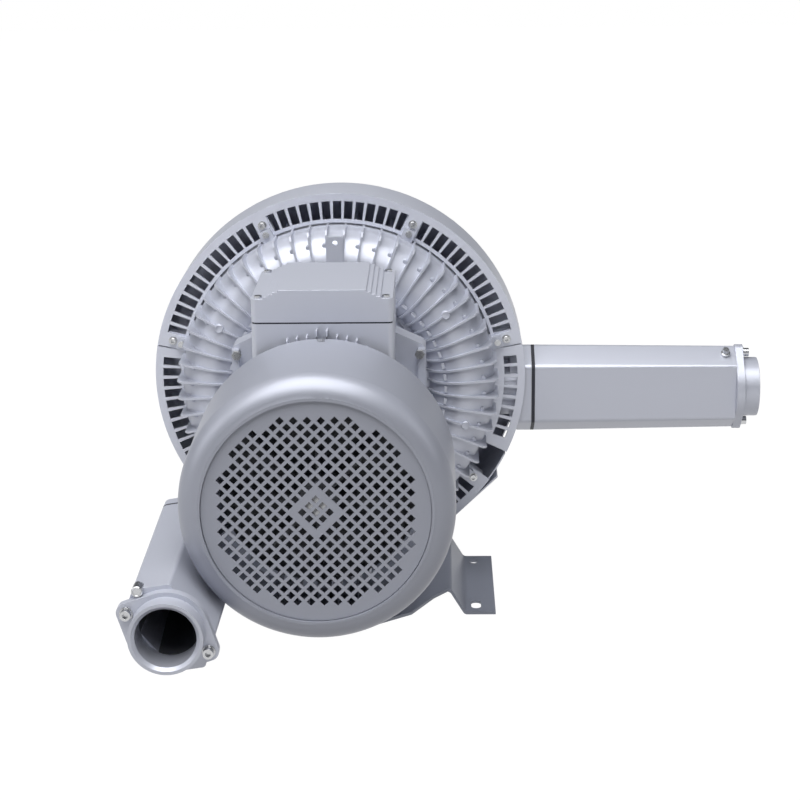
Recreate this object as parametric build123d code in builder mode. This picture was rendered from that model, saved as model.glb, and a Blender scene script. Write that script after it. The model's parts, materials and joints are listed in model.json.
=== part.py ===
from build123d import *
import os
from math import atan, cos, degrees, radians, sin, sqrt

os.makedirs("parts", exist_ok=True)

# Double-stage side channel blower, millimetres.  X runs to the outlet, Y along the shaft from the
# fan cowl to the compressor, Z up.  The origin lies on the floor, in the middle of the foot bolts.

# ---- driving dimensions ------------------------------------------------------------------------
shaft_height = 365.0          # shaft axis above the floor
seat = 0.3                    # gap between pieces that sit against each other on curved faces
run_gap = 0.5                 # gap beside a turning impeller
journal_gap = 0.04            # radial gap of a shaft in an inner race or hub

grille_y = -666.0             # front face of the intake grille
cowl_lip = 5.0                # rolled rim standing proud of the grille
cowl_length = 235.0
cowl_radius = 207.0
cowl_wall = 3.0
cowl_rim_radius = 171.0
cowl_shoulder_radius = 37.0
cowl_bead_radius = 3.5
cowl_seat_width = 5.0
cowl_screw_back = 15.0        # from the cowl's back edge to its screws
cowl_screw_radius = 3.0
cowl_screw_angles = (90, 210, 330)
cowl_screw_reach = 14.0
grille_radius = 170.0
grille_thickness = 3.0
grille_hole = 9.4
grille_tip_pitch = 20.0       # from tip to tip of neighbouring diamonds
grille_field_radius = 151.0
grille_boss = 41.0            # half diagonal of the solid diamond in the middle

frame_overlap = 80.0          # how far the motor frame reaches into the cowl
frame_length = 290.0
frame_radius = 157.0
frame_wall = 8.0
fin_thickness = 3.2
fin_pitch = 15.5
fin_tip_radius = 203.0
side_fin_tip = 172.0
top_fin_count = 10
side_fin_count = 9
shield_side = 322.0           # width across the square flange of the drive end shield
shield_top = 147.0            # height of its upper bolts' corner above the axis
shield_thickness = 34.0
shield_corner = 13.0
shield_neck_length = 166.0
shield_neck_radius = 125.0
shield_foot_radius = 150.0    # flange of the neck on the compressor
stator_length = 200.0
stator_bore = 98.0
air_gap = 0.8
stator_inset = 45.0
cowl_lug_radius = 11.0
bolt_clearance = 0.4          # radial, round every bolt in its hole
winding_overhang = 38.0

box_width = 222.0
box_depth = 218.0
box_front_y = -416.0
box_seam_z = 226.0            # above the axis, as the other heights of the terminal box
box_top_z = 280.0
box_ear_z = 266.0
box_wall = 5.0
box_gasket_thickness = 2.5

channel_radius = 225.0        # radius of the side channels' centre line
channel_bore = 51.0           # radius of the channel's round section
casting_wall = 9.0
outer_wall_radius = 285.0
casting_neck_length = 110.0   # from the motor flange to the first channel's plane
casting_neck_radius = 158.0
rib_count = 56
rib_thickness = 3.4
rib_corner_radius = 291.0
rib_height = 5.0
rib_skirt = 24.0
impeller_width = 42.0
impeller_clearance = 0.8      # around the impeller's rim
pocket_radius = 38.0
blade_count = 40
partition_thickness = 8.0

guard_inner = 289.0
guard_outer = 342.0
guard_thickness = 4.0
slot_inner = 295.0
slot_outer = 328.0
slot_width = 15.0
slot_positions = 98
guard_screw_count = 7
guard_screw_radius = 315.0
hood_wall = 2.5
hood_depth = 116.0            # straight length of the hood behind the guard ring
hood_crown = 34.0             # bulge of its back
hood_corner = 26.0
hood_window = 80.0            # height above the axis at which the hood stops beside the outlet
hood_window_height = 232.0
hood_window_width = 80.0
hood_window_rear = 60.0       # behind the outlet's axis
joint_lap = 2.4               # degrees from a joint's screw to the end of a guard segment
joint_gap = 0.4               # degrees of dark gap between two segments
right_slot_inner = 304.0

silencer_long = 53.5          # half length of the hexagon's long sides
silencer_tip = 84.5           # half height over its tips
silencer_half = 51.0          # half depth
silencer_length = 374.0
silencer_taper = 4.5          # draft of the casting towards its spigot end
silencer_wall = 5.0
silencer_round = 11.0
spigot_radius = 55.0
spigot_length = 28.0
spigot_bore = 45.0
spigot_flange = 15.0
ear_offset = 66.0
ear_radius = 15.0
spigot_flange_radius = 62.0
spigot_chamfer = 5.0
silencer_screw_radius = 5.0
silencer_screw_stub = 4.0     # free end of the screws behind the silencer's end wall
washer_thickness = 2.0
inlet_ear_turn = 23.3         # how far the inlet spigot's ears are turned from the section's long way
drain_plug_radius = 3.6
drain_plug_offset = 6.0       # the plug sits between the spigot's flange and the section's tip
drain_plug_inset = 10.5
inlet_pipe_radius = 50.0
adaptor_flange = 26.0
port_gasket = 6.0
port_radius = 45.0

outlet_y = 184.0
outlet_drop = 39.0            # outlet axis below the shaft axis
outlet_root_x = 361.0
outlet_boss_x = 329.0
outlet_boss_radius = 50.0
outlet_flange_flat = 34.0      # the outlet's round flange is cut flat this far in front of its axis
guard_web_slot = 26.5          # a web behind the bar between the slots 26 and 27 steps from the top
guard_web_inner = 300.0
guard_web_thickness = 4.4
guard_web_depth = 12.0
inlet_x = -214.0
inlet_drop = 154.0
inlet_root_y = -362.0
inlet_turn = 40.0             # lean of the inlet silencer's section

foot_pitch_x = 494.0
foot_pitch_y = 222.0
foot_hole_radius = 8.75
foot_plate_half = 281.0       # outer edge of the foot plates
foot_bend_x = 226.0
foot_bend_radius = 9.0
foot_notch_gap = 9.0
foot_ridge_x = 200.0
foot_deck_z = 48.0            # top of the deck between the feet
foot_depth = 290.0
foot_front = 148.0            # front edge of the foot plates from the bolt pattern's middle
foot_sheet = 5.0
foot_nose = 152.0             # how far the deck reaches forward under the motor
foot_slot_length = 38.0
foot_notch = 136.0            # half width of the deck's recess under the hood
leg_centre = 120.0
leg_width = 76.0
leg_depth = 64.0
leg_bolt_radius = 6.0
leg_bolt_pitch = 34.0
leg_bolt_reach = 26.0
leg_height = 70.0
inlet_boss_length = 94.0      # from the first channel's plane to the inlet flange
port_flange = 14.0
port_depth = 22.0             # how far the port's bore stops short of the channel's plane

# ---- shaft line -------------------------------------------------------------------------------
shaft_from_cowl = 32.0
fan_seat_radius = 19.0
fan_bearing_bore = 22.5
fan_bearing_outer = 50.0
fan_bearing_width = 25.0
core_seat_radius = 34.0
drive_bearing_bore = 32.5
drive_bearing_outer = 70.0
drive_bearing_width = 33.0
drive_bearing_inset = 8.0     # from the casing joint
impeller_seat_radius = 27.5
shaft_thread_radius = 20.0
rear_fan_seat_radius = 17.0
shaft_nut_radius = 36.0
shaft_nut_height = 20.0
shaft_chamfer = 1.5
key_width = 16.0
key_height = 10.0
key_depth = 6.0
key_top_gap = 0.3
end_ring_outer = 90.0
end_ring_inner = 62.0
end_ring_thickness = 14.0
end_ring_vanes = 12
fan_hub_radius = 32.0
fan_radius = 150.0
fan_width = 72.0
fan_plate = 4.0
fan_blade_thickness = 4.0
fan_blades = 8
fan_from_grille = 46.0
rear_fan_hub = 30.0
rear_fan_radius = 138.0
rear_fan_width = 38.0
rear_fan_blades = 10
impeller_hub_radius = 52.0
hub_overhang = 18.0
web_inset = 12.0
pocket_arc = 360 / blade_count - 1.3

# ---- motor castings -----------------------------------------------------------------------------
shield_peak = 170.0           # height of the square flange beside the terminal box
flange_plate = 14.0
flange_post = 11.0            # upright posts along both sides of the flange
flange_post_x = 154.0
flange_post_depth = 16.0
flange_bolt_x = 151.0
flange_bolt_z = 137.0
flange_bolt_radius = 5.0
end_wall = 10.0
bearing_wall = 8.0
shield_foot = 14.0
neck_bolt_circle = 139.0
neck_bolt_count = 8
neck_bolt_start = 22.5
neck_bolt_radius = 5.0
casting_flange = 14.0
winding_width = 34.0
winding_round = 10.0
box_saddle_z = 108.0
cable_hole_radius = 18.0

# ---- terminal box -------------------------------------------------------------------------------
box_round = 9.0
box_screw_inset = 11.0
box_screw_radius = 3.0
box_ear = 19.0                # width of the lid's low strips that take its screws
box_tread = 7.5               # width of each terrace of the lid
box_floor = 10.0
box_riser = (box_top_z - box_ear_z) / 4
block_length = 120.0
block_width = 60.0
block_height = 22.0
stud_radius = 3.0
stud_height = 22.0
plug_radius = 14.0            # cable entries in the rear face of the terminal box
plug_spacing = 100.0

# ---- compressor details -------------------------------------------------------------------------
lug_width = 28.0
lug_thickness = 12.0
lug_top = 281.0               # above the axis
lug_hole_height = 270.0
lug_hole_radius = 5.0
ear_tip = 306.0
ear_width = 22.0
ear_thickness = 12.0
casing_bolt_circle = 298.0
casing_bolt_radius = 3.5
guard_screw_size = 3.5
arm_tip = 326.0
arm_width = 30.0
arm_depth = 20.0
rear_rib_count = 28
seal_width = 9.0
seal_outer = 60.0
web_thickness = 12.0
port_boss_radius = 56.0
port_boss_flange = 66.0
hood_intake = 118.0
hood_eye = 46.0
hood_slot_width = 6.0
hood_slot_count = 30
closing_sheet = 3.0
closing_half_length = 76.0
closing_depth = 118.0
closing_angle = -46.5         # where the closing sheet touches the hood
right_guard_end = -25.5
lower_guard_start = -36.0

# ---- frames and stations ----------------------------------------------------------------------
motor_axis = Axis((0, 0, shaft_height), (0, 1, 0))
profile_plane = Plane.XY.offset(shaft_height)      # local x is the radius, local y runs along the shaft

cowl_front_y = grille_y - cowl_lip
cowl_back_y = cowl_front_y + cowl_length
frame_front_y = cowl_back_y - frame_overlap
frame_back_y = frame_front_y + frame_length
shield_back_y = frame_back_y + shield_thickness
casing_y = shield_back_y + shield_neck_length      # joint of motor and compressor
channel_1_y = casing_y + casting_neck_length
impeller_1_y = channel_1_y + run_gap
partition_y = impeller_1_y + impeller_width + run_gap
rear_case_y = partition_y + partition_thickness
impeller_2_y = rear_case_y + run_gap
channel_2_y = impeller_2_y + impeller_width + run_gap
guard_y = partition_y - guard_thickness
hood_back_y = partition_y + hood_depth
fan_y = grille_y + fan_from_grille
fan_bearing_y = frame_front_y - 4
stator_y = frame_front_y + stator_inset
drive_bearing_y = casing_y - drive_bearing_inset - drive_bearing_width
key_start_y = impeller_1_y - hub_overhang
shaft_nut_y = impeller_2_y + impeller_width + hub_overhang
key_length = shaft_nut_y - key_start_y
rear_fan_y = shaft_nut_y + shaft_nut_height
shaft_end_y = rear_fan_y + rear_fan_width
inlet_boss_y = channel_1_y - inlet_boss_length
leg_y = guard_y - leg_depth / 2 - 4
leg_bolts = [
    (x, leg_y + y)
    for x in (-leg_centre, leg_centre)
    for y in (-leg_bolt_pitch / 2, leg_bolt_pitch / 2)
]


low_corner = (Align.MIN, Align.MIN)
low_edge = (Align.CENTER, Align.MIN)
high_edge = (Align.CENTER, Align.MAX)


def face_plane(y):
    """Plane across the shaft, seen from the cowl: local x to the outlet, local y up."""
    return Plane(origin=(0, y, shaft_height), x_dir=(1, 0, 0), z_dir=(0, -1, 0))


def radial_plane(angle):
    """Plane through the shaft axis, turned by angle from the outlet side."""
    out = (cos(radians(angle)), 0, sin(radians(angle)))
    return Plane(origin=(0, 0, shaft_height), x_dir=out, z_dir=(-out[2], 0, out[0]))




def spoke_plane(y, angle):
    """Plane on the shaft axis whose normal points outwards at angle from the outlet side."""
    out = (cos(radians(angle)), 0, sin(radians(angle)))
    return Plane(origin=(0, y, shaft_height), x_dir=(0, 1, 0), z_dir=out)


# ---- fan cowl: a drawn steel bell with a rolled rim round its intake -----------------------------
cowl_screw_y = cowl_back_y - cowl_screw_back
cowl_screw_planes = [spoke_plane(cowl_screw_y, angle) for angle in cowl_screw_angles]
with BuildPart() as fan_cowl:
    with BuildSketch(profile_plane):
        with Locations((0, cowl_front_y)):
            Rectangle(cowl_radius, cowl_length, align=low_corner)
        fillet(vertices().sort_by(Axis.Y)[:2].sort_by(Axis.X)[-1], cowl_shoulder_radius)
        with BuildSketch(mode=Mode.SUBTRACT):
            with Locations((0, cowl_front_y + cowl_wall)):
                Rectangle(cowl_radius - cowl_wall, cowl_length, align=low_corner)
            fillet(vertices().sort_by(Axis.Y)[:2].sort_by(Axis.X)[-1], cowl_shoulder_radius - cowl_wall)
        with Locations((0, cowl_front_y)):
            Rectangle(2 * cowl_rim_radius, 3 * cowl_wall, mode=Mode.SUBTRACT)
        with Locations((cowl_rim_radius + cowl_bead_radius, cowl_front_y + cowl_bead_radius)):
            Circle(cowl_bead_radius)
        with Locations((grille_radius - cowl_seat_width, grille_y + grille_thickness)):
            Rectangle(2 * cowl_seat_width, cowl_wall, align=low_corner)
        with Locations((cowl_rim_radius, cowl_front_y + cowl_bead_radius)):
            Rectangle(cowl_wall, grille_y + grille_thickness - cowl_front_y, align=low_corner)
    revolve(axis=motor_axis)
    with BuildSketch(*cowl_screw_planes):
        Circle(cowl_screw_radius)
    extrude(amount=2 * cowl_radius, mode=Mode.SUBTRACT)
fan_cowl.part.label = "fan_cowl"
export_step(fan_cowl.part, "parts/fan_cowl.step")

# ---- intake grille: a steel disc punched with square holes that stand on their corners -----------
hole_places = []
boss_places = []
half_pitch = grille_tip_pitch / 2
for row in range(-14, 15):
    for column in range(-14, 15):
        place = (column * half_pitch, row * half_pitch)
        from_centre = (place[0] ** 2 + place[1] ** 2) ** 0.5
        from_axes = abs(place[0]) + abs(place[1])
        on_lattice = (row + column) % 2 == 1
        if on_lattice and from_centre < grille_field_radius and from_axes > grille_boss:
            hole_places.append(place)
        if not on_lattice and from_axes < grille_boss - half_pitch:
            boss_places.append(place)
with BuildPart() as intake_grille:
    with BuildSketch(face_plane(grille_y)):
        Circle(grille_radius)
        with Locations(*hole_places, *boss_places):
            Rectangle(grille_hole, grille_hole, rotation=45, mode=Mode.SUBTRACT)
    extrude(amount=-grille_thickness)
intake_grille.part.label = "intake_grille"
export_step(intake_grille.part, "parts/intake_grille.step")

# ---- motor shaft, stepped for the fans, bearings, rotor core and impellers -----------------------
shaft_steps = (
    (fan_seat_radius, cowl_front_y + shaft_from_cowl, fan_bearing_y),
    (fan_bearing_bore, fan_bearing_y, fan_bearing_y + fan_bearing_width),
    (core_seat_radius, fan_bearing_y + fan_bearing_width, drive_bearing_y),
    (drive_bearing_bore, drive_bearing_y, drive_bearing_y + drive_bearing_width),
    (impeller_seat_radius, drive_bearing_y + drive_bearing_width, shaft_nut_y),
    (shaft_thread_radius, shaft_nut_y, rear_fan_y),
    (rear_fan_seat_radius, rear_fan_y, shaft_end_y),
)
with BuildPart() as motor_shaft:
    for step_radius, step_start, step_end in shaft_steps:
        with BuildSketch(face_plane(step_start)):
            Circle(step_radius)
        extrude(amount=step_start - step_end)
    with BuildSketch(face_plane(key_start_y)):
        with Locations((0, impeller_seat_radius - key_depth)):
            Rectangle(key_width, 2 * key_depth, align=low_edge)
    extrude(amount=-key_length, mode=Mode.SUBTRACT)
    chamfer(faces().sort_by(Axis.Y)[0].edges(), shaft_chamfer)
    chamfer(faces().sort_by(Axis.Y)[-1].edges(), shaft_chamfer)
motor_shaft.part.label = "motor_shaft"
export_step(motor_shaft.part, "parts/motor_shaft.step")

# ---- impeller key --------------------------------------------------------------------------------
with BuildPart() as impeller_key:
    with BuildSketch(face_plane(key_start_y)):
        with Locations((0, impeller_seat_radius - key_depth)):
            Rectangle(key_width, key_height, align=low_edge)
    extrude(amount=-key_length)
impeller_key.part.label = "impeller_key"
export_step(impeller_key.part, "parts/impeller_key.step")

# ---- rotor core: stacked sheets with cast aluminium end rings ------------------------------------
with BuildPart() as rotor_core:
    with BuildSketch(face_plane(stator_y)):
        Circle(stator_bore - air_gap)
        Circle(core_seat_radius, mode=Mode.SUBTRACT)
    extrude(amount=-stator_length)
rotor_core.part.label = "rotor_core"
export_step(rotor_core.part, "parts/rotor_core.step")

with BuildPart() as rotor_end_rings:
    for ring_y, outward in ((stator_y, 1), (stator_y + stator_length, -1)):
        with BuildSketch(face_plane(ring_y)):
            Circle(end_ring_outer)
            Circle(end_ring_inner, mode=Mode.SUBTRACT)
        extrude(amount=outward * end_ring_thickness)
        with BuildSketch(face_plane(ring_y + -outward * end_ring_thickness)):
            with PolarLocations((end_ring_outer + end_ring_inner) / 2, end_ring_vanes):
                Rectangle(end_ring_outer - end_ring_inner - 8, 3)
        extrude(amount=outward * end_ring_thickness)
rotor_end_rings.part.label = "rotor_end_rings"
export_step(rotor_end_rings.part, "parts/rotor_end_rings.step")

# ---- motor cooling fan behind the grille ---------------------------------------------------------
with BuildPart() as cooling_fan:
    with BuildSketch(profile_plane):
        with Locations((fan_seat_radius, fan_y)):
            Rectangle(fan_hub_radius - fan_seat_radius, fan_width, align=low_corner)
        with Locations((fan_seat_radius, fan_y + fan_width - fan_plate)):
            Rectangle(fan_radius - fan_seat_radius, fan_plate, align=low_corner)
    revolve(axis=motor_axis)
    with BuildSketch(*[radial_plane(k * 360 / fan_blades) for k in range(fan_blades)]):
        with BuildLine():
            Polyline(
                (fan_hub_radius - 2, fan_y + 6),
                (fan_radius * 0.62, fan_y + 4),
                (fan_radius, fan_y + fan_width * 0.45),
                (fan_radius, fan_y + fan_width - fan_plate / 2),
                (fan_hub_radius - 2, fan_y + fan_width - fan_plate / 2),
                close=True,
            )
        make_face()
    extrude(amount=fan_blade_thickness / 2, both=True)
cooling_fan.part.label = "cooling_fan"
export_step(cooling_fan.part, "parts/cooling_fan.step")

# ---- rear cooling fan between the rear casting and the hood --------------------------------------
with BuildPart() as rear_fan:
    with BuildSketch(profile_plane):
        with Locations((rear_fan_seat_radius, rear_fan_y)):
            Rectangle(rear_fan_hub - rear_fan_seat_radius, rear_fan_width, align=low_corner)
        with Locations((rear_fan_seat_radius, rear_fan_y)):
            Rectangle(rear_fan_radius - rear_fan_seat_radius, fan_plate, align=low_corner)
    revolve(axis=motor_axis)
    with BuildSketch(*[radial_plane(k * 360 / rear_fan_blades) for k in range(rear_fan_blades)]):
        with Locations((rear_fan_hub - 2, rear_fan_y + fan_plate / 2)):
            blade_reach = rear_fan_radius - rear_fan_hub + 2
            Rectangle(blade_reach, rear_fan_width - fan_plate, align=low_corner)
    extrude(amount=fan_blade_thickness / 2, both=True)
rear_fan.part.label = "rear_fan"
export_step(rear_fan.part, "parts/rear_fan.step")

# ---- shaft nut, with its flats -------------------------------------------------------------------
with BuildPart() as shaft_nut:
    with BuildSketch(face_plane(shaft_nut_y)):
        RegularPolygon(shaft_nut_radius, 6)
        Circle(shaft_thread_radius, mode=Mode.SUBTRACT)
    extrude(amount=-shaft_nut_height)
shaft_nut.part.label = "shaft_nut"
export_step(shaft_nut.part, "parts/shaft_nut.step")

# ---- impellers: a hub, a web and a bladed rim whose half-round pockets face the side channel -----
impeller_radius = channel_radius + channel_bore
impeller_rim_inner = channel_radius - channel_bore
hub_middle_y = (impeller_1_y + impeller_2_y + impeller_width) / 2
for impeller_name, open_y, closed_y, direction in (
    ("impeller_stage_1", impeller_1_y, impeller_1_y + impeller_width, 1),
    ("impeller_stage_2", impeller_2_y + impeller_width, impeller_2_y, -1),
):
    with BuildPart() as impeller:
        with BuildSketch(profile_plane):
            with BuildLine():
                Polyline(
                    (impeller_seat_radius, open_y - direction * hub_overhang),
                    (impeller_hub_radius, open_y - direction * hub_overhang),
                    (impeller_hub_radius, open_y + direction * web_inset),
                    (impeller_rim_inner, open_y + direction * web_inset),
                    (impeller_rim_inner, open_y),
                    (impeller_radius, open_y),
                    (impeller_radius, closed_y),
                    (impeller_rim_inner, closed_y),
                    (impeller_rim_inner - 6, closed_y - direction * web_inset),
                    (impeller_hub_radius, closed_y - direction * web_inset),
                    (impeller_hub_radius, hub_middle_y),
                    (impeller_seat_radius, hub_middle_y),
                    close=True,
                )
            make_face()
        revolve(axis=motor_axis)
        with BuildSketch(*[radial_plane(k * 360 / blade_count) for k in range(blade_count)]):
            with Locations((channel_radius, open_y)):
                Circle(pocket_radius)
        revolve(axis=motor_axis, revolution_arc=pocket_arc, mode=Mode.SUBTRACT)
        with BuildSketch(face_plane(open_y - direction * hub_overhang)):
            with Locations((0, impeller_seat_radius - key_depth)):
                Rectangle(key_width, key_height + key_top_gap, align=low_edge)
        extrude(amount=-direction * 2 * impeller_width, mode=Mode.SUBTRACT)
    impeller.part.label = impeller_name
    export_step(impeller.part, f"parts/{impeller_name}.step")

# ---- motor frame: a finned aluminium barrel with a square flange on the compressor side ----------
top_fin_places = [(k - (top_fin_count - 1) / 2) * fin_pitch for k in range(top_fin_count)]
side_fin_places = [(k - (side_fin_count - 1) / 2) * fin_pitch for k in range(side_fin_count)]
frame_bore = frame_radius - frame_wall
flange_bolts = [(x, z) for x in (-flange_bolt_x, flange_bolt_x) for z in (-flange_bolt_z, flange_bolt_z)]


def flange_outline():
    """Square flange whose top and bottom rise towards the middle."""
    with BuildSketch() as outline:
        with BuildLine():
            Polyline(
                (shield_side / 2, shield_top),
                (box_width / 2, shield_peak),
                (-box_width / 2, shield_peak),
                (-shield_side / 2, shield_top),
                (-shield_side / 2, -shield_top),
                (-box_width / 2, -shield_peak),
                (box_width / 2, -shield_peak),
                (shield_side / 2, -shield_top),
                close=True,
            )
        make_face()
        fillet(outline.vertices().group_by(Axis.X)[0], shield_corner)
        fillet(outline.vertices().group_by(Axis.X)[-1], shield_corner)
    return outline.sketch


with BuildPart() as motor_frame:
    with BuildSketch(face_plane(frame_front_y)):
        with Locations(*[(x, 0) for x in top_fin_places]):
            Rectangle(fin_thickness, 2 * fin_tip_radius)
        with Locations(*[(0, z) for z in side_fin_places]):
            Rectangle(2 * side_fin_tip, fin_thickness)
        Circle(fin_tip_radius, mode=Mode.INTERSECT)
    extrude(amount=-(frame_length - flange_plate))
    with BuildSketch(face_plane(box_front_y - seat)):
        with Locations((0, fin_tip_radius)):
            Rectangle(box_width + 2 * seat, 2 * (fin_tip_radius - box_saddle_z))
    extrude(amount=-frame_length, mode=Mode.SUBTRACT)
    with BuildSketch(face_plane(frame_front_y)):
        Circle(frame_radius)
    extrude(amount=-frame_length)
    with BuildSketch(face_plane(frame_back_y - flange_plate)):
        add(flange_outline())
    extrude(amount=-flange_plate)
    with BuildSketch(face_plane(frame_back_y - flange_plate)):
        with Locations(*[(x, 0) for x in (-flange_post_x, flange_post_x)]):
            Rectangle(flange_post, 2 * shield_top - 6)
    extrude(amount=flange_post_depth)
    with BuildSketch(*cowl_screw_planes):
        Circle(cowl_lug_radius)
    extrude(amount=cowl_radius - cowl_wall - seat)
    with BuildSketch(face_plane(frame_front_y)):
        Circle(frame_bore)
    extrude(amount=-frame_length, mode=Mode.SUBTRACT)
    with BuildSketch(*cowl_screw_planes):
        Circle(cowl_screw_radius)
    extrude(amount=2 * cowl_radius, mode=Mode.SUBTRACT)
    with BuildSketch(face_plane(frame_back_y - frame_length / 2)):
        with Locations(*flange_bolts):
            Circle(flange_bolt_radius + bolt_clearance)
    extrude(amount=-frame_length, mode=Mode.SUBTRACT)
    with BuildSketch(Plane.XY.offset(shaft_height)):
        with Locations((0, box_front_y + box_depth / 2)):
            Circle(cable_hole_radius)
    extrude(amount=2 * frame_radius, mode=Mode.SUBTRACT)
motor_frame.part.label = "motor_frame"
export_step(motor_frame.part, "parts/motor_frame.step")

# ---- fan end shield: closes the frame under the cowl and holds the fan end bearing ---------------
with BuildPart() as fan_end_shield:
    with BuildSketch(profile_plane):
        with BuildLine():
            Polyline(
                (fan_seat_radius + 6, frame_front_y - end_wall),
                (frame_radius, frame_front_y - end_wall),
                (frame_radius, frame_front_y),
                (fan_bearing_outer + bearing_wall, frame_front_y),
                (fan_bearing_outer + bearing_wall, fan_bearing_y + fan_bearing_width),
                (fan_bearing_outer + journal_gap, fan_bearing_y + fan_bearing_width),
                (fan_bearing_outer + journal_gap, fan_bearing_y),
                (fan_seat_radius + 6, fan_bearing_y),
                close=True,
            )
        make_face()
    revolve(axis=motor_axis)
fan_end_shield.part.label = "fan_end_shield"
export_step(fan_end_shield.part, "parts/fan_end_shield.step")

# ---- stator core and windings --------------------------------------------------------------------
with BuildPart() as stator_core:
    with BuildSketch(face_plane(stator_y)):
        Circle(frame_bore - journal_gap)
        Circle(stator_bore, mode=Mode.SUBTRACT)
    extrude(amount=-stator_length)
stator_core.part.label = "stator_core"
export_step(stator_core.part, "parts/stator_core.step")

with BuildPart() as stator_windings:
    with BuildSketch(profile_plane):
        for winding_y in (stator_y - winding_overhang, stator_y + stator_length):
            with Locations((stator_bore + 6, winding_y)):
                Rectangle(winding_width, winding_overhang, align=low_corner)
        fillet(vertices().group_by(Axis.Y)[0], winding_round)
        fillet(vertices().group_by(Axis.Y)[-1], winding_round)
    revolve(axis=motor_axis)
stator_windings.part.label = "stator_windings"
export_step(stator_windings.part, "parts/stator_windings.step")

# ---- drive end shield: a hollow neck that carries the motor on the compressor --------------------
with BuildPart() as drive_end_shield:
    with BuildSketch(face_plane(frame_back_y)):
        add(flange_outline())
    extrude(amount=-shield_thickness)
    with BuildSketch(profile_plane):
        with BuildLine():
            Polyline(
                (0, shield_back_y - 1),
                (shield_neck_radius + 12, shield_back_y - 1),
                (shield_neck_radius, shield_back_y + 30),
                (shield_neck_radius, casing_y - shield_foot),
                (shield_foot_radius, casing_y - shield_foot),
                (shield_foot_radius, casing_y),
                (0, casing_y),
                close=True,
            )
        make_face()
    revolve(axis=motor_axis)
    with BuildSketch(profile_plane):
        with BuildLine():
            Polyline(
                (0, frame_back_y),
                (frame_bore, frame_back_y),
                (frame_bore, frame_back_y + shield_thickness / 2),
                (shield_neck_radius - end_wall, frame_back_y + shield_thickness / 2),
                (shield_neck_radius - end_wall, casing_y - shield_foot - end_wall),
                (drive_bearing_outer + bearing_wall, casing_y - shield_foot - end_wall),
                (drive_bearing_outer + bearing_wall, drive_bearing_y - end_wall),
                (drive_bearing_bore + 8, drive_bearing_y - end_wall),
                (drive_bearing_bore + 8, drive_bearing_y),
                (drive_bearing_outer + journal_gap, drive_bearing_y),
                (drive_bearing_outer + journal_gap, casing_y),
                (0, casing_y),
                close=True,
            )
        make_face()
    revolve(axis=motor_axis, mode=Mode.SUBTRACT)
    with BuildSketch(face_plane(frame_back_y)):
        with Locations(*flange_bolts):
            Circle(flange_bolt_radius + bolt_clearance)
    extrude(amount=-shield_thickness, mode=Mode.SUBTRACT)
    with BuildSketch(face_plane(casing_y - shield_foot)):
        with PolarLocations(neck_bolt_circle, neck_bolt_count, neck_bolt_start):
            Circle(neck_bolt_radius + bolt_clearance)
    extrude(amount=-shield_foot, mode=Mode.SUBTRACT)
drive_end_shield.part.label = "drive_end_shield"
export_step(drive_end_shield.part, "parts/drive_end_shield.step")

# ---- flange bolts of the motor frame, heads towards the fan --------------------------------------
with BuildPart() as flange_bolt_set:
    with BuildSketch(face_plane(frame_back_y - flange_plate - flange_post_depth)):
        with Locations(*flange_bolts):
            RegularPolygon(flange_bolt_radius * 1.7, 6)
    extrude(amount=flange_bolt_radius * 1.3)
    with BuildSketch(face_plane(frame_back_y - flange_plate - flange_post_depth)):
        with Locations(*flange_bolts):
            Circle(flange_bolt_radius)
    extrude(amount=-(flange_post_depth + flange_plate + shield_thickness - 2))
flange_bolt_set.part.label = "flange_bolts"
export_step(flange_bolt_set.part, "parts/flange_bolts.step")

# ---- neck bolts, screwed into the front casting --------------------------------------------------
with BuildPart() as neck_bolts:
    with BuildSketch(face_plane(casing_y - shield_foot)):
        with PolarLocations(neck_bolt_circle, neck_bolt_count, neck_bolt_start):
            Circle(neck_bolt_radius * 1.6)
    extrude(amount=neck_bolt_radius * 1.3)
    with BuildSketch(face_plane(casing_y - shield_foot)):
        with PolarLocations(neck_bolt_circle, neck_bolt_count, neck_bolt_start):
            Circle(neck_bolt_radius)
    extrude(amount=-(shield_foot + casting_flange))
neck_bolts.part.label = "neck_bolts"
export_step(neck_bolts.part, "parts/neck_bolts.step")

# ---- bearings: two rings and the rolling bodies between them -------------------------------------
for bearing_name, bearing_y, bore, outer, width, roller_count, roller_radius in (
    ("fan_end_bearing", fan_bearing_y, fan_bearing_bore, fan_bearing_outer, fan_bearing_width, 8, 8.5),
    (
        "drive_end_bearing", drive_bearing_y, drive_bearing_bore, drive_bearing_outer,
        drive_bearing_width, 9, 11.5,
    ),
):
    pitch_radius = (bore + outer) / 2
    with BuildPart() as outer_race:
        with BuildSketch(face_plane(bearing_y)):
            Circle(outer)
            Circle(pitch_radius + roller_radius + journal_gap, mode=Mode.SUBTRACT)
        extrude(amount=-width)
    outer_race.part.label = f"{bearing_name}_outer_race"
    export_step(outer_race.part, f"parts/{bearing_name}_outer_race.step")
    with BuildPart() as inner_race:
        with BuildSketch(face_plane(bearing_y)):
            Circle(pitch_radius - roller_radius - journal_gap)
            Circle(bore, mode=Mode.SUBTRACT)
        extrude(amount=-width)
    inner_race.part.label = f"{bearing_name}_inner_race"
    export_step(inner_race.part, f"parts/{bearing_name}_inner_race.step")
    with BuildPart() as rollers:
        with BuildSketch(face_plane(bearing_y + 2)):
            with PolarLocations(pitch_radius, roller_count):
                Circle(roller_radius)
        extrude(amount=-(width - 4))
    rollers.part.label = f"{bearing_name}_rollers"
    export_step(rollers.part, f"parts/{bearing_name}_rollers.step")

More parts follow.
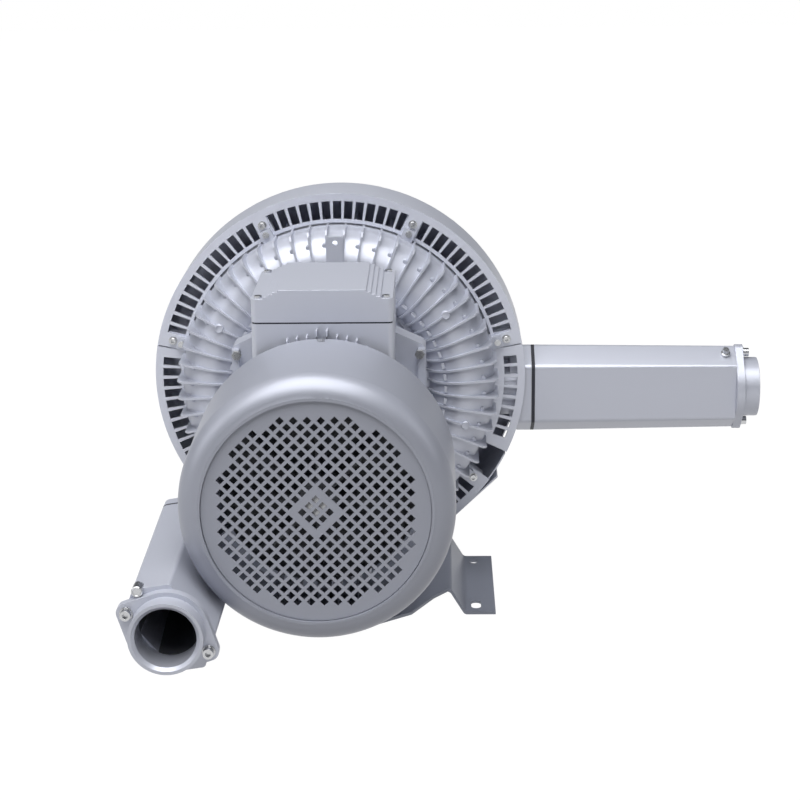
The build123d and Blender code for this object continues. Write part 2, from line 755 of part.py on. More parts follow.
# ---- terminal box: a cast base that saddles the frame, a flat gasket and a terraced lid ----------
box_centre_y = box_front_y + box_depth / 2
box_screws = [
    (x, box_centre_y + y)
    for x in (-(box_width / 2 - box_screw_inset), box_width / 2 - box_screw_inset)
    for y in (-(box_depth / 2 - box_screw_inset), box_depth / 2 - box_screw_inset)
]


def box_outline(margin):
    """Rounded rectangle of the terminal box, drawn in by margin."""
    with BuildSketch() as outline:
        with Locations((0, box_centre_y)):
            corner = box_round - min(margin, box_round / 2)
            RectangleRounded(box_width - 2 * margin, box_depth - 2 * margin, corner)
    return outline.sketch


cable_height = (shield_peak + box_floor + box_seam_z) / 2
cable_plane = Plane(
    origin=(0, box_front_y + box_depth, shaft_height + cable_height), x_dir=(1, 0, 0), z_dir=(0, -1, 0)
)
with BuildPart() as terminal_box_base:
    with BuildSketch(Plane.XY.offset(shaft_height + box_saddle_z + seat)):
        add(box_outline(0))
    extrude(amount=box_seam_z - box_saddle_z - seat)
    with BuildSketch(face_plane(box_front_y - box_wall)):
        Circle(frame_radius + seat)
    extrude(amount=-2 * box_depth, mode=Mode.SUBTRACT)
    with BuildSketch(face_plane(frame_back_y - flange_plate - seat)):
        offset(flange_outline(), amount=seat)
    extrude(amount=-box_depth, mode=Mode.SUBTRACT)
    with BuildSketch(Plane.XY.offset(shaft_height + shield_peak + box_floor)):
        add(box_outline(box_wall))
        with Locations(*box_screws):
            Circle(box_screw_inset, mode=Mode.SUBTRACT)
    extrude(amount=box_seam_z, mode=Mode.SUBTRACT)
    with BuildSketch(Plane.XY.offset(shaft_height)):
        with Locations((0, box_centre_y)):
            Circle(cable_hole_radius)
        with Locations(*box_screws):
            Circle(box_screw_radius + bolt_clearance)
    extrude(amount=box_seam_z, mode=Mode.SUBTRACT)
    with BuildSketch(cable_plane):
        with Locations((-plug_spacing / 2, 0), (plug_spacing / 2, 0)):
            Circle(plug_radius + seat)
    extrude(amount=2 * box_wall, mode=Mode.SUBTRACT)
terminal_box_base.part.label = "terminal_box_base"
export_step(terminal_box_base.part, "parts/terminal_box_base.step")

with BuildPart() as terminal_box_gasket:
    with BuildSketch(Plane.XY.offset(shaft_height + box_seam_z)):
        add(box_outline(1))
        add(box_outline(box_wall + 4), mode=Mode.SUBTRACT)
        with Locations(*box_screws):
            Circle(box_screw_inset - 3)
        with Locations(*box_screws):
            Circle(box_screw_radius + bolt_clearance, mode=Mode.SUBTRACT)
    extrude(amount=box_gasket_thickness)
terminal_box_gasket.part.label = "terminal_box_gasket"
export_step(terminal_box_gasket.part, "parts/terminal_box_gasket.step")

with BuildPart() as cable_plugs:
    with BuildSketch(cable_plane):
        with Locations((-plug_spacing / 2, 0), (plug_spacing / 2, 0)):
            Circle(plug_radius)
    extrude(amount=2 * box_wall)
    with BuildSketch(cable_plane):
        with Locations((-plug_spacing / 2, 0), (plug_spacing / 2, 0)):
            RegularPolygon(1.25 * plug_radius, 6)
    extrude(amount=-plug_radius / 2)
cable_plugs.part.label = "cable_plugs"
export_step(cable_plugs.part, "parts/cable_plugs.step")

lid_base_z = shaft_height + box_seam_z + box_gasket_thickness
with BuildPart() as terminal_box_lid:
    with BuildSketch(Plane.XY.offset(lid_base_z)):
        add(box_outline(0))
    extrude(amount=box_top_z + shaft_height - lid_base_z)
    with BuildSketch(face_plane(box_front_y - box_wall)):
        for step in range(4):
            terrace = box_ear + step * box_tread
            for side in (-1, 1):
                with Locations((side * box_width / 2, box_top_z)):
                    Rectangle(2 * terrace, 2 * box_riser * (4 - step))
    extrude(amount=-2 * box_depth, mode=Mode.SUBTRACT)
    with BuildSketch(Plane.XY.offset(lid_base_z)):
        add(box_outline(box_wall))
        with Locations(*box_screws):
            Circle(box_screw_inset, mode=Mode.SUBTRACT)
    extrude(amount=box_ear_z + shaft_height - lid_base_z - box_wall, mode=Mode.SUBTRACT)
    with BuildSketch(Plane.XY.offset(lid_base_z)):
        with Locations(*box_screws):
            Circle(box_screw_radius + bolt_clearance)
    extrude(amount=box_top_z, mode=Mode.SUBTRACT)
terminal_box_lid.part.label = "terminal_box_lid"
export_step(terminal_box_lid.part, "parts/terminal_box_lid.step")

lid_ear_top = shaft_height + box_ear_z
with BuildPart() as lid_screws:
    with BuildSketch(Plane.XY.offset(lid_ear_top)):
        with Locations(*box_screws):
            Circle(2 * box_screw_radius)
    extrude(amount=1.2 * box_screw_radius)
    with BuildSketch(Plane.XY.offset(lid_ear_top)):
        with Locations(*box_screws):
            Circle(box_screw_radius)
    extrude(amount=-(box_ear_z - box_seam_z + 2 * box_screw_inset))
lid_screws.part.label = "lid_screws"
export_step(lid_screws.part, "parts/lid_screws.step")

block_z = shaft_height + shield_peak + box_floor
stud_places = [
    (x, box_centre_y + y)
    for x in (-block_length / 3, 0, block_length / 3)
    for y in (cable_hole_radius + 0.25 * block_width, cable_hole_radius + 0.75 * block_width)
]
with BuildPart() as terminal_block:
    with BuildSketch(Plane.XY.offset(block_z)):
        with Locations((0, box_centre_y + cable_hole_radius + block_width / 2)):
            Rectangle(block_length, block_width)
        with Locations(*stud_places):
            Circle(stud_radius, mode=Mode.SUBTRACT)
    extrude(amount=block_height)
terminal_block.part.label = "terminal_block"
export_step(terminal_block.part, "parts/terminal_block.step")

with BuildPart() as terminal_studs:
    with BuildSketch(Plane.XY.offset(block_z + seat)):
        with Locations(*stud_places):
            Circle(stud_radius)
    extrude(amount=block_height + stud_height)
    with BuildSketch(Plane.XY.offset(block_z + block_height)):
        with Locations(*stud_places):
            RegularPolygon(2 * stud_radius, 6)
    extrude(amount=2 * stud_radius)
terminal_studs.part.label = "terminal_studs"
export_step(terminal_studs.part, "parts/terminal_studs.step")

# ---- front casting: the ribbed ring that holds the first side channel ----------------------------
guard_screw_angles = [90 + (k + 0.5) * 360 / guard_screw_count for k in range(guard_screw_count)]
outer_channel = channel_bore + casting_wall
impeller_room = impeller_radius + impeller_clearance


def rib_outline(crest_y, direction):
    """Blade-shaped rib that follows the back of a channel and squares off at its outer corner."""
    reach = channel_bore + casting_wall / 2
    crown = outer_channel + rib_height
    inner = 0.97
    with BuildSketch() as outline:
        with BuildLine():
            tip = (channel_radius - crown * inner, crest_y - direction * crown * 0.243)
            peak = (channel_radius, crest_y - direction * crown)
            flank = (channel_radius - crown * 0.7071, crest_y - direction * crown * 0.7071)
            ThreePointArc(tip, flank, peak)
            Polyline(
                peak,
                (rib_corner_radius - 7, crest_y - direction * (crown - 5)),
                (rib_corner_radius, crest_y - direction * (crown - 15)),
                (rib_corner_radius, crest_y + direction * rib_skirt),
                (outer_wall_radius - casting_wall / 2, crest_y + direction * rib_skirt),
                (outer_wall_radius - casting_wall / 2, crest_y),
            )
            back = (channel_radius, crest_y - direction * reach)
            middle = (channel_radius + reach * 0.7071, crest_y - direction * reach * 0.7071)
            ThreePointArc((outer_wall_radius - casting_wall / 2, crest_y), middle, back)
            flank_back = (channel_radius - reach * 0.7071, crest_y - direction * reach * 0.7071)
            base = (channel_radius - reach * inner, crest_y - direction * reach * 0.243)
            ThreePointArc(back, flank_back, base)
            Line(base, tip)
        make_face()
    return outline.sketch


rib_angles = [90 + (k + 0.5) * 360 / rib_count for k in range(rib_count)]
with BuildPart() as front_casting:
    with BuildSketch(profile_plane):
        with Locations((channel_radius, channel_1_y)):
            Circle(outer_channel)
        with Locations((channel_radius, channel_1_y)):
            Rectangle(3 * outer_channel, 2 * outer_channel, align=low_edge, mode=Mode.SUBTRACT)
        with Locations((impeller_room, channel_1_y)):
            Rectangle(outer_wall_radius - impeller_room, partition_y - channel_1_y, align=low_corner)
        with Locations((seal_outer, channel_1_y - web_thickness)):
            Rectangle(channel_radius - seal_outer, web_thickness, align=low_corner)
        with Locations((casting_neck_radius - casting_wall, casing_y)):
            Rectangle(casting_wall, casting_neck_length - web_thickness / 2, align=low_corner)
        with Locations((drive_bearing_outer - 8, casing_y)):
            Rectangle(casting_neck_radius - drive_bearing_outer + 8, casting_flange, align=low_corner)
        with Locations((channel_radius, channel_1_y)):
            Circle(channel_bore, mode=Mode.SUBTRACT)
    revolve(axis=motor_axis)
    with BuildSketch(*[radial_plane(angle) for angle in rib_angles]):
        add(rib_outline(channel_1_y, 1))
    extrude(amount=rib_thickness / 2, both=True)
    with BuildSketch(*[radial_plane(angle) for angle in guard_screw_angles]):
        with Locations((outer_wall_radius - casting_wall / 2, guard_y)):
            ear_length = ear_tip - outer_wall_radius + casting_wall / 2
            Rectangle(ear_length, ear_thickness, align=(Align.MIN, Align.MAX))
    extrude(amount=ear_width / 2, both=True)
    with BuildSketch(face_plane(channel_1_y - outer_channel - rib_height)):
        with Locations((0, lug_top)):
            lug_height = lug_top - channel_radius + outer_channel / 2
            Rectangle(lug_width, lug_height, align=high_edge)
    extrude(amount=-lug_thickness)
    with BuildSketch(face_plane(inlet_boss_y)):
        with Locations((inlet_x, -inlet_drop)):
            Circle(port_boss_radius)
    extrude(amount=inlet_boss_y - channel_1_y)
    with BuildSketch(face_plane(inlet_boss_y)):
        with Locations((inlet_x, -inlet_drop)):
            Circle(port_boss_flange)
    extrude(amount=-port_flange)
    with BuildSketch(Plane.XY.offset(foot_deck_z)):
        with Locations(*[(x, leg_y) for x in (-leg_centre, leg_centre)]):
            Rectangle(leg_width, leg_depth)
    extrude(amount=leg_height)
    with BuildSketch(profile_plane):
        with Locations((0, channel_1_y)):
            Rectangle(impeller_room, partition_y - channel_1_y + leg_depth, align=low_corner)
        with Locations((channel_radius, channel_1_y)):
            Circle(channel_bore)
    revolve(axis=motor_axis, mode=Mode.SUBTRACT)
    with BuildSketch(face_plane(inlet_boss_y)):
        with Locations((inlet_x, -inlet_drop)):
            Circle(port_radius)
    extrude(amount=inlet_boss_y - channel_1_y + port_depth, mode=Mode.SUBTRACT)
    with BuildSketch(face_plane(channel_1_y - outer_channel - rib_height)):
        with Locations((0, lug_hole_height)):
            Circle(lug_hole_radius)
    extrude(amount=-lug_thickness, mode=Mode.SUBTRACT)
    with BuildSketch(face_plane(guard_y)):
        with PolarLocations(casing_bolt_circle, guard_screw_count, guard_screw_angles[0]):
            Circle(casing_bolt_radius + bolt_clearance)
    extrude(amount=ear_thickness, mode=Mode.SUBTRACT)
    with BuildSketch(face_plane(casing_y)):
        with PolarLocations(neck_bolt_circle, neck_bolt_count, neck_bolt_start):
            Circle(neck_bolt_radius + bolt_clearance)
    extrude(amount=-casting_flange, mode=Mode.SUBTRACT)
    with BuildSketch(Plane.XY.offset(foot_deck_z)):
        with Locations(*leg_bolts):
            Circle(leg_bolt_radius + bolt_clearance)
    extrude(amount=leg_bolt_reach, mode=Mode.SUBTRACT)
front_casting.part.label = "front_casting"
export_step(front_casting.part, "parts/front_casting.step")

# ---- partition between the two stages, clamped between the castings ------------------------------
with BuildPart() as partition_disc:
    with BuildSketch(face_plane(partition_y)):
        Circle(outer_wall_radius)
        Circle(impeller_hub_radius + impeller_clearance, mode=Mode.SUBTRACT)
    extrude(amount=-partition_thickness)
partition_disc.part.label = "partition_disc"
export_step(partition_disc.part, "parts/partition_disc.step")

# ---- shaft seals, pressed into both castings and wiping the impeller hubs ------------------------
with BuildPart() as shaft_seals:
    for seal_y in (channel_1_y - web_thickness + 1, channel_2_y + web_thickness - 1 - seal_width):
        with BuildSketch(face_plane(seal_y)):
            Circle(seal_outer)
            Circle(impeller_hub_radius + journal_gap, mode=Mode.SUBTRACT)
        extrude(amount=-seal_width)
shaft_seals.part.label = "shaft_seals"
export_step(shaft_seals.part, "parts/shaft_seals.step")

# ---- rear casting: second side channel, with seven arms for the guard and the outlet's boss ------
rear_rib_angles = [90 + (k + 0.5) * 360 / rear_rib_count for k in range(rear_rib_count)]
outlet_plane = Plane(
    origin=(outlet_boss_x, outlet_y, shaft_height - outlet_drop), x_dir=(0, 1, 0), z_dir=(1, 0, 0)
)
with BuildPart() as rear_casting:
    with BuildSketch(profile_plane):
        with Locations((channel_radius, channel_2_y)):
            Circle(outer_channel)
            Rectangle(3 * outer_channel, 2 * outer_channel, align=high_edge, mode=Mode.SUBTRACT)
        with Locations((impeller_room, rear_case_y)):
            Rectangle(outer_wall_radius - impeller_room, channel_2_y - rear_case_y, align=low_corner)
        with Locations((seal_outer, channel_2_y)):
            Rectangle(channel_radius - seal_outer, web_thickness, align=low_corner)
    revolve(axis=motor_axis)
    with BuildSketch(*[radial_plane(angle) for angle in rear_rib_angles]):
        add(rib_outline(channel_2_y, -1))
    extrude(amount=rib_thickness / 2, both=True)
    with BuildSketch(*[radial_plane(angle) for angle in guard_screw_angles]):
        with Locations((outer_wall_radius + seat, partition_y)):
            Rectangle(arm_tip - outer_wall_radius - seat, arm_depth, align=low_corner)
        with Locations((outer_wall_radius - casting_wall / 2, rear_case_y)):
            Rectangle(casting_wall, arm_depth + partition_y - rear_case_y, align=low_corner)
    extrude(amount=arm_width / 2, both=True)
    with BuildSketch(outlet_plane):
        Circle(outlet_boss_radius)
    extrude(amount=impeller_rim_inner - outlet_boss_x)
    with BuildSketch(radial_plane(90 - guard_web_slot * 360 / slot_positions)):
        with Locations((guard_web_inner, partition_y)):
            Rectangle(outlet_boss_x - guard_web_inner - 2, guard_web_depth, align=low_corner)
    extrude(amount=guard_web_thickness / 2, both=True)
    with BuildSketch(outlet_plane):
        Circle(port_boss_flange)
        with Locations((-outlet_flange_flat, 0)):
            flat_cut = (port_boss_flange, 4 * port_boss_flange)
            Rectangle(*flat_cut, align=(Align.MAX, Align.CENTER), mode=Mode.SUBTRACT)
    extrude(amount=-port_flange)
    with BuildSketch(profile_plane):
        with Locations((0, rear_case_y - 2 * arm_depth)):
            Rectangle(impeller_room, channel_2_y - rear_case_y + 2 * arm_depth, align=low_corner)
        with Locations((0, rear_case_y - 2 * arm_depth)):
            Rectangle(outer_wall_radius + seat, 2 * arm_depth, align=low_corner)
        with Locations((channel_radius, channel_2_y)):
            Circle(channel_bore)
    revolve(axis=motor_axis, mode=Mode.SUBTRACT)
    with BuildSketch(outlet_plane):
        Circle(port_radius)
    extrude(amount=impeller_radius - outlet_boss_x - 4, mode=Mode.SUBTRACT)
    with BuildSketch(face_plane(partition_y)):
        with PolarLocations(casing_bolt_circle, guard_screw_count, guard_screw_angles[0]):
            Circle(casing_bolt_radius + bolt_clearance)
        with PolarLocations(guard_screw_radius, guard_screw_count, guard_screw_angles[0]):
            Circle(guard_screw_size + bolt_clearance)
    extrude(amount=-arm_depth, mode=Mode.SUBTRACT)
rear_casting.part.label = "rear_casting"
export_step(rear_casting.part, "parts/rear_casting.step")

# ---- casing bolts: through an ear of the front casting, the guard and an arm of the rear casting ----
with BuildPart() as casing_bolts:
    with BuildSketch(face_plane(guard_y - ear_thickness)):
        with PolarLocations(casing_bolt_circle, guard_screw_count, guard_screw_angles[0]):
            Circle(1.7 * casing_bolt_radius)
    extrude(amount=1.6 * casing_bolt_radius)
    with BuildSketch(face_plane(guard_y - ear_thickness)):
        with PolarLocations(casing_bolt_circle, guard_screw_count, guard_screw_angles[0]):
            Circle(casing_bolt_radius)
    extrude(amount=-(ear_thickness + guard_thickness + arm_depth))
casing_bolts.part.label = "casing_bolts"
export_step(casing_bolts.part, "parts/casing_bolts.step")

# ---- slotted guard: three flat segments that close the front of the hood -------------------------
slot_step = 360 / slot_positions
screw_step = 360 / guard_screw_count
upper_guard_end = guard_screw_angles[0] - 2 * screw_step - joint_lap
upper_guard_start = guard_screw_angles[1] + joint_lap


def wedge(start, end):
    """Wide sector of a disc from start to end degrees, used to cut a segment out of the ring."""
    reach = 3 * guard_outer
    spread = end - start
    corners = [(0, 0)]
    for k in range(5):
        turn = radians(start + spread * k / 4)
        corners.append((reach * cos(turn), reach * sin(turn)))
    with BuildSketch(mode=Mode.PRIVATE) as sector:
        with BuildLine():
            Polyline(*corners, close=True)
        make_face()
    return sector.sketch


right_guard_inner = outer_wall_radius + seat
for segment_name, start, end, inner, slot_start in (
    ("guard_upper", upper_guard_end, upper_guard_start, guard_inner, slot_inner),
    ("guard_lower", upper_guard_start + joint_gap, 360 + lower_guard_start, guard_inner, slot_inner),
    ("guard_right", right_guard_end, upper_guard_end - joint_gap, right_guard_inner, right_slot_inner),
):
    slots = []
    for k in range(slot_positions):
        turn = 90 + k * slot_step
        from_screw = (turn - guard_screw_angles[0] + screw_step / 2) % screw_step - screw_step / 2
        if abs(from_screw) > slot_step / 2 and start + 2 < turn < end - 2 or (
            abs(from_screw) > slot_step / 2 and start + 2 < turn - 360 < end - 2
        ):
            slots.append(turn)
    with BuildPart() as guard:
        with BuildSketch(face_plane(guard_y)):
            Circle(guard_outer)
            Circle(inner, mode=Mode.SUBTRACT)
            add(wedge(start, end), mode=Mode.INTERSECT)
            for turn in slots:
                middle = (slot_start + slot_outer) / 2
                with Locations((middle * cos(radians(turn)), middle * sin(radians(turn)))):
                    Rectangle(slot_outer - slot_start, slot_width, rotation=turn, mode=Mode.SUBTRACT)
            with PolarLocations(casing_bolt_circle, guard_screw_count, guard_screw_angles[0]):
                Circle(casing_bolt_radius + bolt_clearance, mode=Mode.SUBTRACT)
            with PolarLocations(guard_screw_radius, guard_screw_count, guard_screw_angles[0]):
                Circle(guard_screw_size + bolt_clearance, mode=Mode.SUBTRACT)
        extrude(amount=-guard_thickness)
    guard.part.label = segment_name
    export_step(guard.part, f"parts/{segment_name}.step")

with BuildPart() as guard_screws:
    with BuildSketch(face_plane(guard_y)):
        with PolarLocations(guard_screw_radius, guard_screw_count, guard_screw_angles[0]):
            Circle(1.8 * guard_screw_size)
    extrude(amount=1.8 * guard_screw_size)
    with BuildSketch(face_plane(guard_y)):
        with PolarLocations(guard_screw_radius, guard_screw_count, guard_screw_angles[0]):
            Circle(guard_screw_size)
    extrude(amount=-(guard_thickness + arm_depth - 2))
guard_screws.part.label = "guard_screws"
export_step(guard_screws.part, "parts/guard_screws.step")

# ---- hood: a smooth drawn shell round the compressor, slotted in the middle of its back ----------
hood_edge_y = hood_back_y + hood_corner
crown_reach = guard_outer - hood_corner
crown_radius = (crown_reach**2 + hood_crown**2) / (2 * hood_crown)
crown_middle_height = sqrt(crown_radius**2 - crown_reach**2 / 4)
with BuildPart() as hood:
    with BuildSketch(profile_plane) as hood_section:
        for inset in (0, hood_wall):
            rim = guard_outer - inset
            back = hood_edge_y - inset
            with BuildSketch(mode=Mode.ADD if inset == 0 else Mode.SUBTRACT):
                with BuildLine():
                    Line((0, partition_y), (rim, partition_y))
                    Line((rim, partition_y), (rim, hood_back_y))
                    bend = (1 - cos(radians(45))) * (hood_corner - inset)
                    corner_middle = (rim - bend, back - bend)
                    ThreePointArc((rim, hood_back_y), corner_middle, (crown_reach, back))
                    crown_middle = (crown_reach / 2, back + hood_crown - crown_radius + crown_middle_height)
                    ThreePointArc((crown_reach, back), crown_middle, (0, back + hood_crown))
                    Line((0, back + hood_crown), (0, partition_y))
                make_face()
    revolve(axis=motor_axis)
    with BuildSketch(face_plane(hood_back_y)):
        with PolarLocations((hood_eye + hood_intake) / 2, hood_slot_count):
            SlotOverall(hood_intake - hood_eye, hood_slot_width)
    extrude(amount=-4 * hood_crown, mode=Mode.SUBTRACT)
    with BuildSketch(face_plane(partition_y)):
        with Locations((guard_outer, hood_window)):
            Rectangle(2 * hood_window_width, hood_window_height, align=high_edge)
    extrude(amount=-(outlet_y - partition_y + hood_window_rear), mode=Mode.SUBTRACT)
hood.part.label = "hood"
export_step(hood.part, "parts/hood.step")

# ---- closing sheet: a flat strip that closes the hood below the outlet ---------------------------
closing_out = (cos(radians(closing_angle)), 0, sin(radians(closing_angle)))
closing_plane = Plane(
    origin=(guard_outer * closing_out[0], partition_y, shaft_height + guard_outer * closing_out[2]),
    x_dir=(closing_out[2], 0, -closing_out[0]),
    z_dir=closing_out,
)
with BuildPart() as closing_sheet_part:
    with BuildSketch(closing_plane):
        Rectangle(2 * closing_half_length, closing_depth, align=low_edge)
    extrude(amount=closing_sheet)
closing_sheet_part.part.label = "closing_sheet"
export_step(closing_sheet_part.part, "parts/closing_sheet.step")

# ---- foot: one steel sheet bent to a hat section, its deck drawn out to a nose under the motor ----
with BuildPart() as foot_bracket:
    with BuildSketch(Plane(origin=(0, -foot_front, 0), x_dir=(1, 0, 0), z_dir=(0, -1, 0))):
        with BuildLine():
            Polyline(
                (-foot_plate_half, 0),
                (-foot_bend_x, 0),
                (-foot_ridge_x, foot_deck_z - foot_sheet),
                (foot_ridge_x, foot_deck_z - foot_sheet),
                (foot_bend_x, 0),
                (foot_plate_half, 0),
                (foot_plate_half, foot_sheet),
                (foot_bend_x + foot_sheet / 2, foot_sheet),
                (foot_ridge_x + foot_sheet / 2, foot_deck_z),
                (-foot_ridge_x - foot_sheet / 2, foot_deck_z),
                (-foot_bend_x - foot_sheet / 2, foot_sheet),
                (-foot_plate_half, foot_sheet),
                close=True,
            )
        make_face()
        bends = vertices().filter_by_position(Axis.X, -foot_plate_half + 1, foot_plate_half - 1)
        fillet(bends, foot_bend_radius)
    extrude(amount=-foot_depth)
    with BuildSketch(Plane.XY.offset(foot_deck_z - foot_sheet)):
        with BuildLine():
            Polyline(
                (-foot_ridge_x + 3, -foot_front + 1),
                (-0.86 * foot_ridge_x, -foot_front - 0.22 * foot_nose),
                (-0.67 * foot_ridge_x, -foot_front - 0.72 * foot_nose),
                (-0.4 * foot_ridge_x, -foot_front - foot_nose),
                (0.4 * foot_ridge_x, -foot_front - foot_nose),
                (0.67 * foot_ridge_x, -foot_front - 0.72 * foot_nose),
                (0.86 * foot_ridge_x, -foot_front - 0.22 * foot_nose),
                (foot_ridge_x - 3, -foot_front + 1),
                close=True,
            )
        make_face()
    extrude(amount=foot_sheet)
    with BuildSketch(Plane.XY):
        with Locations((0, guard_y - foot_notch_gap)):
            Rectangle(2 * foot_notch, foot_depth, align=low_edge)
        with Locations((-foot_pitch_x / 2, foot_pitch_y / 2), (foot_pitch_x / 2, foot_pitch_y / 2)):
            Circle(foot_hole_radius)
        with Locations((-foot_pitch_x / 2, -foot_pitch_y / 2), (foot_pitch_x / 2, -foot_pitch_y / 2)):
            SlotOverall(foot_slot_length, 2 * foot_hole_radius, rotation=90)
        with Locations(*leg_bolts):
            Circle(leg_bolt_radius + bolt_clearance)
    extrude(amount=foot_deck_z, mode=Mode.SUBTRACT)
foot_bracket.part.label = "foot_bracket"
export_step(foot_bracket.part, "parts/foot_bracket.step")

with BuildPart() as leg_bolt_set:
    with BuildSketch(Plane.XY.offset(foot_deck_z - foot_sheet)):
        with Locations(*leg_bolts):
            RegularPolygon(1.6 * leg_bolt_radius, 6)
    extrude(amount=-1.2 * leg_bolt_radius)
    with BuildSketch(Plane.XY.offset(foot_deck_z - foot_sheet)):
        with Locations(*leg_bolts):
            Circle(leg_bolt_radius)
    extrude(amount=foot_sheet + leg_bolt_reach - 2)
leg_bolt_set.part.label = "leg_bolts"
export_step(leg_bolt_set.part, "parts/leg_bolts.step")

# ---- silencers: the same pair of parts on the outlet and on the inlet ----------------------------
outlet_silencer_plane = Plane(
    origin=(outlet_root_x, outlet_y, shaft_height - outlet_drop), x_dir=(0, 1, 0), z_dir=(1, 0, 0)
)
inlet_silencer_plane = Plane(
    origin=(inlet_x, inlet_root_y, shaft_height - inlet_drop),
    x_dir=(cos(radians(inlet_turn)), 0, sin(radians(inlet_turn))),
    z_dir=(0, -1, 0),
)
drain_plug_place = (drain_plug_offset, silencer_tip - silencer_taper - drain_plug_inset)
silencer_draft = degrees(atan(silencer_taper / silencer_length))


def silencer_outline(plane, inset):
    """Rounded hexagon of a silencer on a plane, made smaller all round by the inset."""
    with BuildSketch(plane, mode=Mode.PRIVATE) as outline:
        with BuildLine():
            Polyline(
                (0, silencer_tip),
                (-silencer_half, silencer_long),
                (-silencer_half, -silencer_long),
                (0, -silencer_tip),
                (silencer_half, -silencer_long),
                (silencer_half, silencer_long),
                close=True,
            )
        make_face()
        fillet(vertices(), silencer_round)
        if inset:
            offset(amount=-inset)
    return outline.sketch


for prefix, root, ear_turn, adaptor, plugs in (
    ("outlet", outlet_silencer_plane, 0, outlet_root_x - outlet_boss_x - port_gasket, []),
    ("inlet", inlet_silencer_plane, inlet_ear_turn, adaptor_flange, [drain_plug_place]),
):
    end = root.offset(silencer_length)
    ears = [
        (-side * ear_offset * sin(radians(ear_turn)), side * ear_offset * cos(radians(ear_turn)))
        for side in (-1, 1)
    ]
    with BuildPart() as silencer:
        with BuildSketch(root):
            add(silencer_outline(Plane.XY, 0))
        extrude(amount=silencer_length, taper=silencer_draft)
        with BuildSketch(root):
            add(silencer_outline(Plane.XY, silencer_wall))
        extrude(amount=silencer_length - 2 * silencer_wall, taper=silencer_draft, mode=Mode.SUBTRACT)
        with BuildSketch(end):
            Circle(spigot_bore)
            with Locations(*ears):
                Circle(silencer_screw_radius + bolt_clearance)
            for place in plugs:
                with Locations(place):
                    Circle(drain_plug_radius + seat)
        extrude(amount=-2 * silencer_wall - silencer_screw_stub - seat, mode=Mode.SUBTRACT)
    silencer.part.label = f"{prefix}_silencer"
    export_step(silencer.part, f"parts/{prefix}_silencer.step")

    with BuildPart() as liner:
        with BuildSketch(root):
            add(silencer_outline(Plane.XY, silencer_wall + seat))
        foam_length = silencer_length - 2 * silencer_wall - seat - silencer_screw_stub
        extrude(amount=foam_length, taper=silencer_draft)
        with BuildSketch(root):
            Circle(spigot_bore + 1)
        extrude(amount=silencer_length, mode=Mode.SUBTRACT)
    liner.part.label = f"{prefix}_silencer_foam"
    export_step(liner.part, f"parts/{prefix}_silencer_foam.step")

    with BuildPart() as spigot:
        with BuildSketch(end):
            with BuildSketch(mode=Mode.ADD):
                Circle(spigot_flange_radius)
                with Locations(*ears):
                    Circle(ear_radius)
                make_hull()
        extrude(amount=spigot_flange)
        with BuildSketch(end.offset(spigot_flange)):
            Circle(spigot_radius)
        extrude(amount=spigot_length)
        with BuildSketch(end):
            Circle(spigot_bore)
            with Locations(*ears):
                Circle(silencer_screw_radius + bolt_clearance)
        extrude(amount=spigot_flange + spigot_length, mode=Mode.SUBTRACT)
        mouth = end.offset(spigot_flange + spigot_length)
        lip = [
            edge
            for edge in edges().filter_by(GeomType.CIRCLE)
            if abs(edge.radius - spigot_bore) < 0.1 and abs(mouth.to_local_coords(edge.center()).Z) < 0.1
        ]
        chamfer(lip, spigot_chamfer)
    spigot.part.label = f"{prefix}_spigot"
    export_step(spigot.part, f"parts/{prefix}_spigot.step")

    with BuildPart() as screws:
        with BuildSketch(end.offset(spigot_flange)):
            with Locations(*ears):
                Circle(2 * silencer_screw_radius)
        extrude(amount=washer_thickness)
        with BuildSketch(end.offset(spigot_flange)):
            with Locations(*ears):
                Circle(1.6 * silencer_screw_radius)
        extrude(amount=washer_thickness + 2 * silencer_screw_radius)
        with BuildSketch(end.offset(spigot_flange)):
            with Locations(*ears):
                Circle(silencer_screw_radius)
        extrude(amount=-(spigot_flange + 2 * silencer_wall + silencer_screw_stub - 2))
        with BuildSketch(end.offset(spigot_flange + washer_thickness + 2 * silencer_screw_radius)):
            with Locations(*ears):
                RegularPolygon(0.85 * silencer_screw_radius, 6)
        extrude(amount=-silencer_screw_radius, mode=Mode.SUBTRACT)
    screws.part.label = f"{prefix}_spigot_screws"
    export_step(screws.part, f"parts/{prefix}_spigot_screws.step")

    with BuildPart() as gasket:
        with BuildSketch(root):
            add(silencer_outline(Plane.XY, 0))
            Circle(spigot_bore + 1, mode=Mode.SUBTRACT)
        extrude(amount=-port_gasket)
    gasket.part.label = f"{prefix}_silencer_gasket"
    export_step(gasket.part, f"parts/{prefix}_silencer_gasket.step")

    with BuildPart() as port_adaptor:
        with BuildSketch(root.offset(-port_gasket)):
            add(silencer_outline(Plane.XY, 0))
        extrude(amount=-adaptor)
        with BuildSketch(root):
            Circle(spigot_bore)
        extrude(amount=-adaptor - port_gasket, mode=Mode.SUBTRACT)
    port_adaptor.part.label = f"{prefix}_adaptor"
    export_step(port_adaptor.part, f"parts/{prefix}_adaptor.step")

with BuildPart() as inlet_drain_plug:
    with BuildSketch(inlet_silencer_plane.offset(silencer_length)):
        with Locations(drain_plug_place):
            Circle(drain_plug_radius)
    extrude(amount=-2 * silencer_wall)
    with BuildSketch(inlet_silencer_plane.offset(silencer_length)):
        with Locations(drain_plug_place):
            RegularPolygon(1.3 * drain_plug_radius, 6)
    extrude(amount=drain_plug_radius)
inlet_drain_plug.part.label = "inlet_drain_plug"
export_step(inlet_drain_plug.part, "parts/inlet_drain_plug.step")

